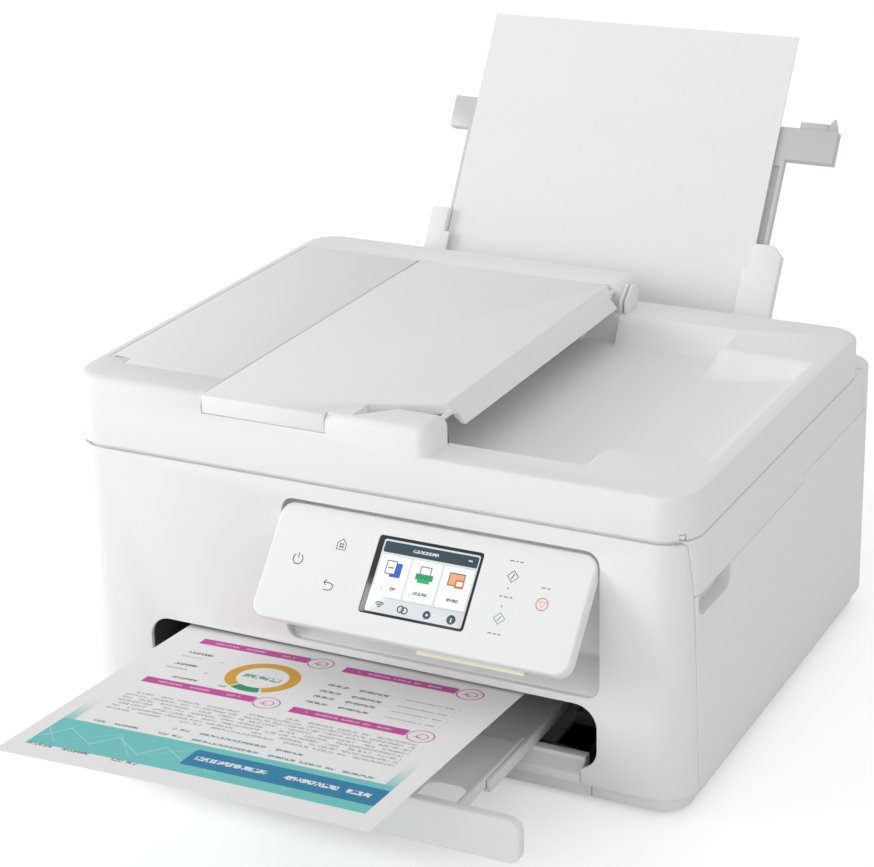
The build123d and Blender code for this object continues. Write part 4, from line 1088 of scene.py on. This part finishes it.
@dataclass
class LidAndFeeder:
    """The lid, with its sculpted recess, and the document feeder over it."""

    low: float = 161.2
    top: float = 185.0
    rear: float = 130.0
    corner: float = 21.0
    rim: float = 2.4
    housing_top: float = 201.0
    housing_right: float = 41.0
    housing_rear: float = 138.0
    step: float = 2.0
    wall: float = 11.0
    edge: float = 0.4

    def build(self) -> None:
        """Make the lid and dress the feeder's parts."""
        lid = self.lid()
        finish_piece(lid, CASE, "lid")
        dress_skin("document_tray", CASE, 0.5)
        dress_skin("feed_cover", CASE, 0.4)
        dress_skin("tray_hinge_arms", INNER, 0.3)
        dress_skin("lid_arms", INNER, 0.5)
        for node in ("document_guide_front", "document_guide_rear", "lid_plate"):
            dress_skin(node, INNER, 0.4)
        dress_node("backing_pad", FOAM)
        for node in ("feeder_roller", "separator_roller"):
            dress_skin(node, RUBBER, 0.3)
        dress_node("roller_brackets", STEEL)

    def depth(self, x: float, y: float) -> float:
        """Return the recess's height above the ground at a place, in millimetres.

        Args:
            x: Place along X.
            y: Place along Y.

        Returns:
            The height of the recess's surface.
        """
        half_main, mid_main = 116.0, -15.0
        half_wing, mid_wing = 83.5, -18.0
        edge_main = min(x + 95.0, 121.0 - x, half_main - abs(y - mid_main))
        edge_wing = min(x - 20.0, 178.0 - x, half_wing - abs(y - mid_wing))
        merged = max(edge_main, edge_wing) + 3.0 * max(0.0, 1.0 - abs(edge_main - edge_wing) / 12.0) ** 2
        rise = min(max((x - 104.0) / 74.0, 0.0), 1.0)
        floor = 167.6 + 9.0 * rise ** 1.3
        share = min(max(merged / self.wall, 0.0), 1.0)
        eased = share * share * (3.0 - 2.0 * share)
        return self.top + 0.02 - (self.top + 0.02 - floor) * eased

    def recess(self) -> bpy.types.Object:
        """Make the solid that the recess is cut with, from a grid moved to shape.

        Returns:
            A closed solid whose underside is the recess's floor and walls.
        """
        x0, x1, y0, y1 = -95.0, 181.0, -133.0, 103.0
        across, along = int((x1 - x0) / self.step), int((y1 - y0) / self.step)
        bpy.ops.object.select_all(action="DESELECT")
        bpy.ops.mesh.primitive_grid_add(
            x_subdivisions=across, y_subdivisions=along, size=1.0,
            location=((x0 + x1) / 2 * MM, (y0 + y1) / 2 * MM, 0),
        )
        tool = bpy.context.active_object
        tool.scale = ((x1 - x0) * MM, (y1 - y0) * MM, 1)
        Bench.settle(tool, "recess_tool")
        for point in tool.data.vertices:
            point.co.z = self.depth(point.co.x / MM, point.co.y / MM) * MM
        Bench.choose_faces(tool, lambda middle, normal: True)
        with Bench.editing():
            bpy.ops.mesh.extrude_region_move(TRANSFORM_OT_translate={"value": (0, 0, 0.03)})
            bpy.ops.transform.resize(value=(1, 1, 0), center_override=(0, 0, 0.215))
        Bench.tidy(tool)
        return tool

    def lid(self) -> bpy.types.Object:
        """Make the lid: a slab, the feeder's housing and everything cut out of them.

        Returns:
            The lid, standing for the frame's own.
        """
        side, front = 188.0, -157.0
        lid = Bench.block("lid_body", mm((-side, front, self.low)), mm((side, self.rear, self.top)))
        Bench.round_edges(lid, lambda middle, way: abs(way.z) > 0.9, self.corner * MM, 10)
        Bench.round_edges(lid, lambda middle, way: middle.z > (self.top - 0.1) * MM, self.rim * MM, 4)
        housing = Bench.block(
            "housing", mm((-side, front, self.top - 4)),
            mm((self.housing_right, self.housing_rear, self.housing_top)),
        )
        Bench.round_edges(
            housing, lambda middle, way: abs(way.z) > 0.9 and middle.x < 0, self.corner * MM, 10
        )
        Bench.round_edges(
            housing, lambda middle, way: abs(way.z) > 0.9 and middle.x > 0.04 and middle.y < 0, 8 * MM, 8
        )
        Bench.round_edges(
            housing, lambda middle, way: abs(way.z) > 0.9 and middle.x > 0.04 and middle.y > 0, 12 * MM, 8
        )
        Bench.round_edges(housing, lambda middle, way: middle.z > (self.housing_top - 0.1) * MM, 6 * MM, 6)
        Bench.cut(lid, housing, Cut.JOIN)
        Bench.cut(lid, self.recess())
        for low, high in self.pockets():
            Bench.cut(lid, Bench.block("pocket", mm(low), mm(high)))
        Bench.cut(lid, self.tray_seat())
        Bench.tidy(lid)
        Bench.modify(
            lid, "BEVEL", width=self.edge * MM, segments=2, limit_method="ANGLE",
            angle_limit=radians(60), use_clamp_overlap=False,
        )
        Bench.smooth(lid, 35)
        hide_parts("lid_frame")
        return lid

    def pockets(self) -> list[tuple[Point, Point]]:
        """List the square pockets in the lid, each as its two corners in millimetres."""
        top = self.housing_top
        pockets = [
            ((-180, -122, top - 4), (-98, 106, top + 1)),
            ((-166, -129.5, top - 4), (-98, -121.9, top + 1)),
            ((-176, -118, self.low + 5), (-100, 102, top - 3.9)),
            ((-98, -158, 190), (-20.5, -152.5, top + 1)),
            ((20, -129, 168), (42, 99, top)),
            ((30, 98, 188), (42, 106.5, top)),
            ((-183, -152, self.low - 1), (183, 114, self.low + 3.4)),
        ]
        for x in (-150.0, 18.0):
            pockets.append(((x - 9, 117, self.low - 1), (x + 9, self.housing_rear + 1, 190.5)))
        return pockets

    def tray_seat(self) -> bpy.types.Object:
        """Make the solid that the document tray's seat is cut with.

        Returns:
            The seat's outline, standing through the top of the housing.
        """
        seats = []
        for left, first, last in ((-98.0, (-6, -133), (-20.5, -152.6)), (-6.5, (23, -121.5), (-6, -133.0))):
            tool = Bench.block("tray_seat", mm((left, -152.6, 194)), mm((42, 106.4, 210)))
            run = Vector((last[0] - first[0], last[1] - first[1], 0))
            Bench.pick(tool)
            with Bench.editing():
                bpy.ops.mesh.select_all(action="SELECT")
                bpy.ops.mesh.bisect(
                    plane_co=mm((*first, 0)), plane_no=(-run.y, run.x, 0),
                    clear_outer=True, use_fill=True,
                )
            Bench.tidy(tool)
            seats.append(tool)
        Bench.cut(seats[0], seats[1], Cut.JOIN)
        return seats[0]


@dataclass
class PanelIcon:
    """One printed sign on the panel: strokes in millimetres about its own middle."""

    name: str
    x: float
    y: float
    strokes: tuple[tuple[tuple[float, float], ...], ...]
    finish: Finish
    width: float = 0.52


@dataclass
class OperationPanel:
    """The tilting panel with its screen and printed signs."""

    tilt: float = 40.8
    relief: float = 0.03
    screen_size: tuple[float, float] = (61.6, 43.4)
    place: Matrix = field(default_factory=Matrix)

    def build(self) -> None:
        """Make the panel's face, its screen and its signs."""
        dress_skin("panel_case", CASE, 0.0)
        low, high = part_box("panel_screen")
        middle = (low + high) / 2
        turn = radians(self.tilt)
        across, up_face = Vector((1, 0, 0)), Vector((0, sin(turn), cos(turn)))
        outward = across.cross(up_face)
        base = Matrix((across, up_face, outward)).transposed().to_4x4()
        self.place = Matrix.Translation(middle + outward * 1.2 * MM) @ base
        self.screen(Matrix.Translation(middle) @ base)
        for icon in self.icons():
            self.sign(icon)

    def screen(self, place: Matrix) -> None:
        """Make the glass of the screen, with its picture on the face.

        Args:
            place: The plane through the middle of the screen.
        """
        wide, high = self.screen_size
        bpy.ops.object.select_all(action="DESELECT")
        bpy.ops.mesh.primitive_grid_add(x_subdivisions=2, y_subdivisions=2, size=1.0, calc_uvs=True)
        piece = bpy.context.active_object
        piece.scale = (wide * MM, high * MM, 1)
        Bench.settle(piece, "touch_screen")
        Bench.choose_faces(piece, lambda middle, normal: True)
        with Bench.editing():
            bpy.ops.mesh.extrude_region_move(TRANSFORM_OT_translate={"value": (0, 0, 1.9 * MM)})
        Bench.tidy(piece)
        Bench.round_edges(piece, lambda middle, way: abs(way.z) > 0.9, 1.6 * MM, 6)

        def on_rim(middle: Vector, way: Vector) -> bool:
            """Say whether an edge lies around the front face."""
            reach = max(abs(middle.x) / wide, abs(middle.y) / high)
            return middle.z > 1.8 * MM and reach > 0.49 * MM

        Bench.round_edges(piece, on_rim, 0.25 * MM, 2)
        piece.data.transform(place @ Matrix.Translation((0, 0, -0.95 * MM)))
        Bench.smooth(piece, 30)
        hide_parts("panel_screen")
        finish = PrintedFinish(
            "screen_glass", (0.006, 0.008, 0.010), roughness=0.10, coat=0.6, grain=0.0, drift=0.0, dust=0.0,
            wide=wide, high=high, marks=screen_marks(), power=0.16,
        )
        finish_piece(piece, finish, "panel")

    def icons(self) -> list[PanelIcon]:
        """List the printed signs, placed from the middle of the screen."""
        def ring(radius: float, start: float = 0.0, end: float = 360.0, steps: int = 28) -> tuple:
            angles = [radians(start + (end - start) * i / steps) for i in range(steps + 1)]
            return tuple((radius * cos(a), radius * sin(a)) for a in angles)

        diamond = ((0, 3.2), (3.2, 0), (0, -3.2), (-3.2, 0), (0, 3.2))
        slash = ((-0.7, -1.5), (0.7, 1.5))
        house = ((-2.6, -2.8), (-2.6, 0.8), (0, 3.2), (2.6, 0.8), (2.6, -2.8), (-2.6, -2.8))
        panes = tuple(
            ((x, y), (x + 0.7, y), (x + 0.7, y + 0.7), (x, y + 0.7), (x, y))
            for x in (-1.1, 0.4) for y in (-1.6, -0.1)
        )
        back = ((-3.0, 1.5), (1.0, 1.5), (2.6, 0.6), (2.9, -0.6), (2.3, -1.9), (0.8, -2.6), (-2.2, -2.6))
        barb = ((-1.5, 3.0), (-3.0, 1.5), (-1.5, 0.0))
        triangle = ((-1.9, 1.2), (1.9, 1.2), (0, -2.0), (-1.9, 1.2))
        return [
            PanelIcon("power_sign", -74.5, 0.2, (ring(2.9, 125, 415), ((0, 0.6), (0, 3.6))), GREY_INK),
            PanelIcon("home_sign", -51.4, 12.3, (house, *panes), GREY_INK),
            PanelIcon("return_sign", -52.3, -11.2, (back, barb), GREY_INK),
            PanelIcon("plain_start_sign", 49.9, 12.3, (diamond, slash), GREY_INK),
            PanelIcon("teal_start_sign", 48.8, -11.0, (diamond, slash), TEAL_INK),
            PanelIcon("stop_sign", 69.8, 0.6, (ring(3.3), triangle), ORANGE_INK),
            PanelIcon("upper_dash", 48.9, 5.6, (((0, -0.6), (0, 0.6)),), PALE_INK),
            PanelIcon("lower_dash", 48.3, -4.4, (((0, -0.6), (0, 0.6)),), PALE_INK),
            PanelIcon("upper_caption", 49.7, 20.6, self.dashes((2.6, 1.4, 2.0)), PALE_INK),
            PanelIcon("middle_caption", 49.2, 0.9, self.dashes((1.6, 2.4, 1.8)), PALE_INK),
            PanelIcon("lower_caption", 48.4, -19.4, self.dashes((2.2, 1.8, 1.6)), PALE_INK),
            PanelIcon("side_caption", 69.6, 9.3, self.dashes((2.4, 1.8)), PALE_INK),
        ]

    @staticmethod
    def dashes(lengths: Sequence[float]) -> tuple:
        """Lay plain dashes end to end, in place of a caption.

        Args:
            lengths: The dashes' lengths in millimetres.

        Returns:
            One stroke for each dash, centred as a row.
        """
        gap = 0.9
        total = sum(lengths) + gap * (len(lengths) - 1)
        start, strokes = -total / 2, []
        for length in lengths:
            strokes.append(((start, 0.0), (start + length, 0.0)))
            start += length + gap
        return tuple(strokes)

    def sign(self, icon: PanelIcon) -> None:
        """Draw one sign as thin raised ink on the panel's face."""
        curve = bpy.data.curves.new(icon.name, "CURVE")
        curve.dimensions = "3D"
        curve.bevel_depth = icon.width / 2 * MM
        curve.bevel_resolution = 1
        curve.use_fill_caps = True
        for stroke in icon.strokes:
            closed = len(stroke) > 2 and stroke[0] == stroke[-1]
            points = stroke[:-1] if closed else stroke
            line = curve.splines.new("POLY")
            line.points.add(len(points) - 1)
            line.use_cyclic_u = closed
            for point, (x, y) in zip(line.points, points):
                point.co = ((icon.x + x) * MM, (icon.y + y) * MM, 0, 1)
        piece = bpy.data.objects.new(icon.name, curve)
        bpy.context.scene.collection.objects.link(piece)
        Bench.pick(piece)
        bpy.ops.object.convert(target="MESH")
        piece = bpy.context.active_object
        piece.data.transform(Matrix.Diagonal((1, 1, self.relief / icon.width * 2, 1)))
        piece.data.transform(self.place)
        finish_piece(piece, icon.finish, "panel")


@dataclass
class RearFeed:
    """The raised support behind the machine, with its sheets of paper."""

    def build(self) -> None:
        """Dress the support and its paper."""
        dress_skin("support_extension", SMOKE, 0.4)
        dress_skin("paper_support", INNER, 0.4)
        for node in ("feed_guide_left", "feed_guide_right"):
            dress_skin(node, CASE, 0.4)
        dress_skin("pickup_roller", RUBBER, 0.3)
        dress_node("paper_stack", PAPER)


@dataclass
class PaperPath:
    """The printed sheet, the cassette and the sliding tray in front."""

    width: float = 210.0
    length: float = 297.0

    def build(self) -> None:
        """Make the sheet and dress the trays."""
        self.sheet()
        dress_skin("cassette_front", CASE, 0.4)
        dress_skin("cassette_tray", BLACK, 0.3)
        dress_skin("tray_stage", INNER, 0.3)
        dress_skin("tray_extension", INNER, 0.3)
        dress_skin("tray_plate", CASE, 0.3)
        dress_node("cassette_paper", PAPER)

    def sheet(self) -> None:
        """Make the printed sheet, hardly bowed, on the plane that it slides along."""
        joint = next(j for j in frame["joints"] if j["child"] == "printed_sheet")
        out = Vector(joint["axis"]).normalized()
        flat = Vector((out.y, -out.x, 0)).normalized()
        across = flat if flat.x > 0 else -flat
        normal = across.cross(-out)
        low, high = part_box("printed_sheet")
        bpy.ops.object.select_all(action="DESELECT")
        bpy.ops.mesh.primitive_grid_add(x_subdivisions=40, y_subdivisions=56, size=1.0, calc_uvs=True)
        piece = bpy.context.active_object
        piece.scale = (self.width * MM, self.length * MM, 1)
        Bench.settle(piece, "report_sheet")
        for point in piece.data.vertices:
            share = point.co.x / (self.width * MM)
            reach = 0.5 - point.co.y / (self.length * MM)
            point.co.z = (0.9 * cos(pi * share) * reach - 0.5 * reach) * MM
        piece.data.transform(
            Matrix.Translation((low + high) / 2) @ Matrix((across, -out, normal)).transposed().to_4x4()
        )
        Bench.modify(piece, "SOLIDIFY", thickness=0.12 * MM, offset=0.0)
        Bench.smooth(piece, 40)
        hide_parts("printed_sheet")
        finish = PrintedFinish(
            "printed_paper", PAPER_WHITE, roughness=0.7, grain=0.10, drift=0.008, dust=0.0,
            marks=report_marks(),
        )
        finish_piece(piece, finish, "printed_sheet")


@dataclass
class PrintEngine:
    """Everything inside: the carriage, the rollers, the frames and the boards."""

    finishes: dict[str, Finish] = field(
        default_factory=lambda: {
            "side_frames": STEEL, "rear_frame": STEEL, "carriage_rod": ROD, "encoder_strip": STRIP,
            "carriage_belt": BELT, "drive_pulley": INNER, "idler_pulley": INNER, "carriage_motor": STEEL,
            "ink_carriage": BLACK, "ink_cartridges": TANK, "platen": BLACK, "feed_roller": RUBBER,
            "exit_roller": RUBBER, "maintenance_unit": BLACK, "ink_absorber": FELT, "main_board": BOARD,
            "power_supply": BLACK, "power_inlet": BLACK, "usb_port": STEEL,
            "scan_tub": BLACK, "scan_carriage": BLACK,
        }
    )

    panes: tuple[str, ...] = ("scan_glass", "feeder_glass")
    edge: float = 0.2

    def build(self) -> None:
        """Dress the inner nodes and the two panes of glass."""
        for node, finish in self.finishes.items():
            dress_skin(node, finish, self.edge)
        for node in self.panes:
            dress_node(node, GLASS)


def main() -> None:
    """Build the scene: the studio first, then every sub-assembly."""
    logging.basicConfig(level=logging.INFO, format="%(message)s")
    assemblies = [
        Studio(), CaseShell(), LidAndFeeder(), OperationPanel(), RearFeed(), PaperPath(), PrintEngine(),
    ]
    for assembly in assemblies:
        assembly.build()
        LOG.info("%s is built", type(assembly).__name__)


if __name__ == "__main__":
    main()
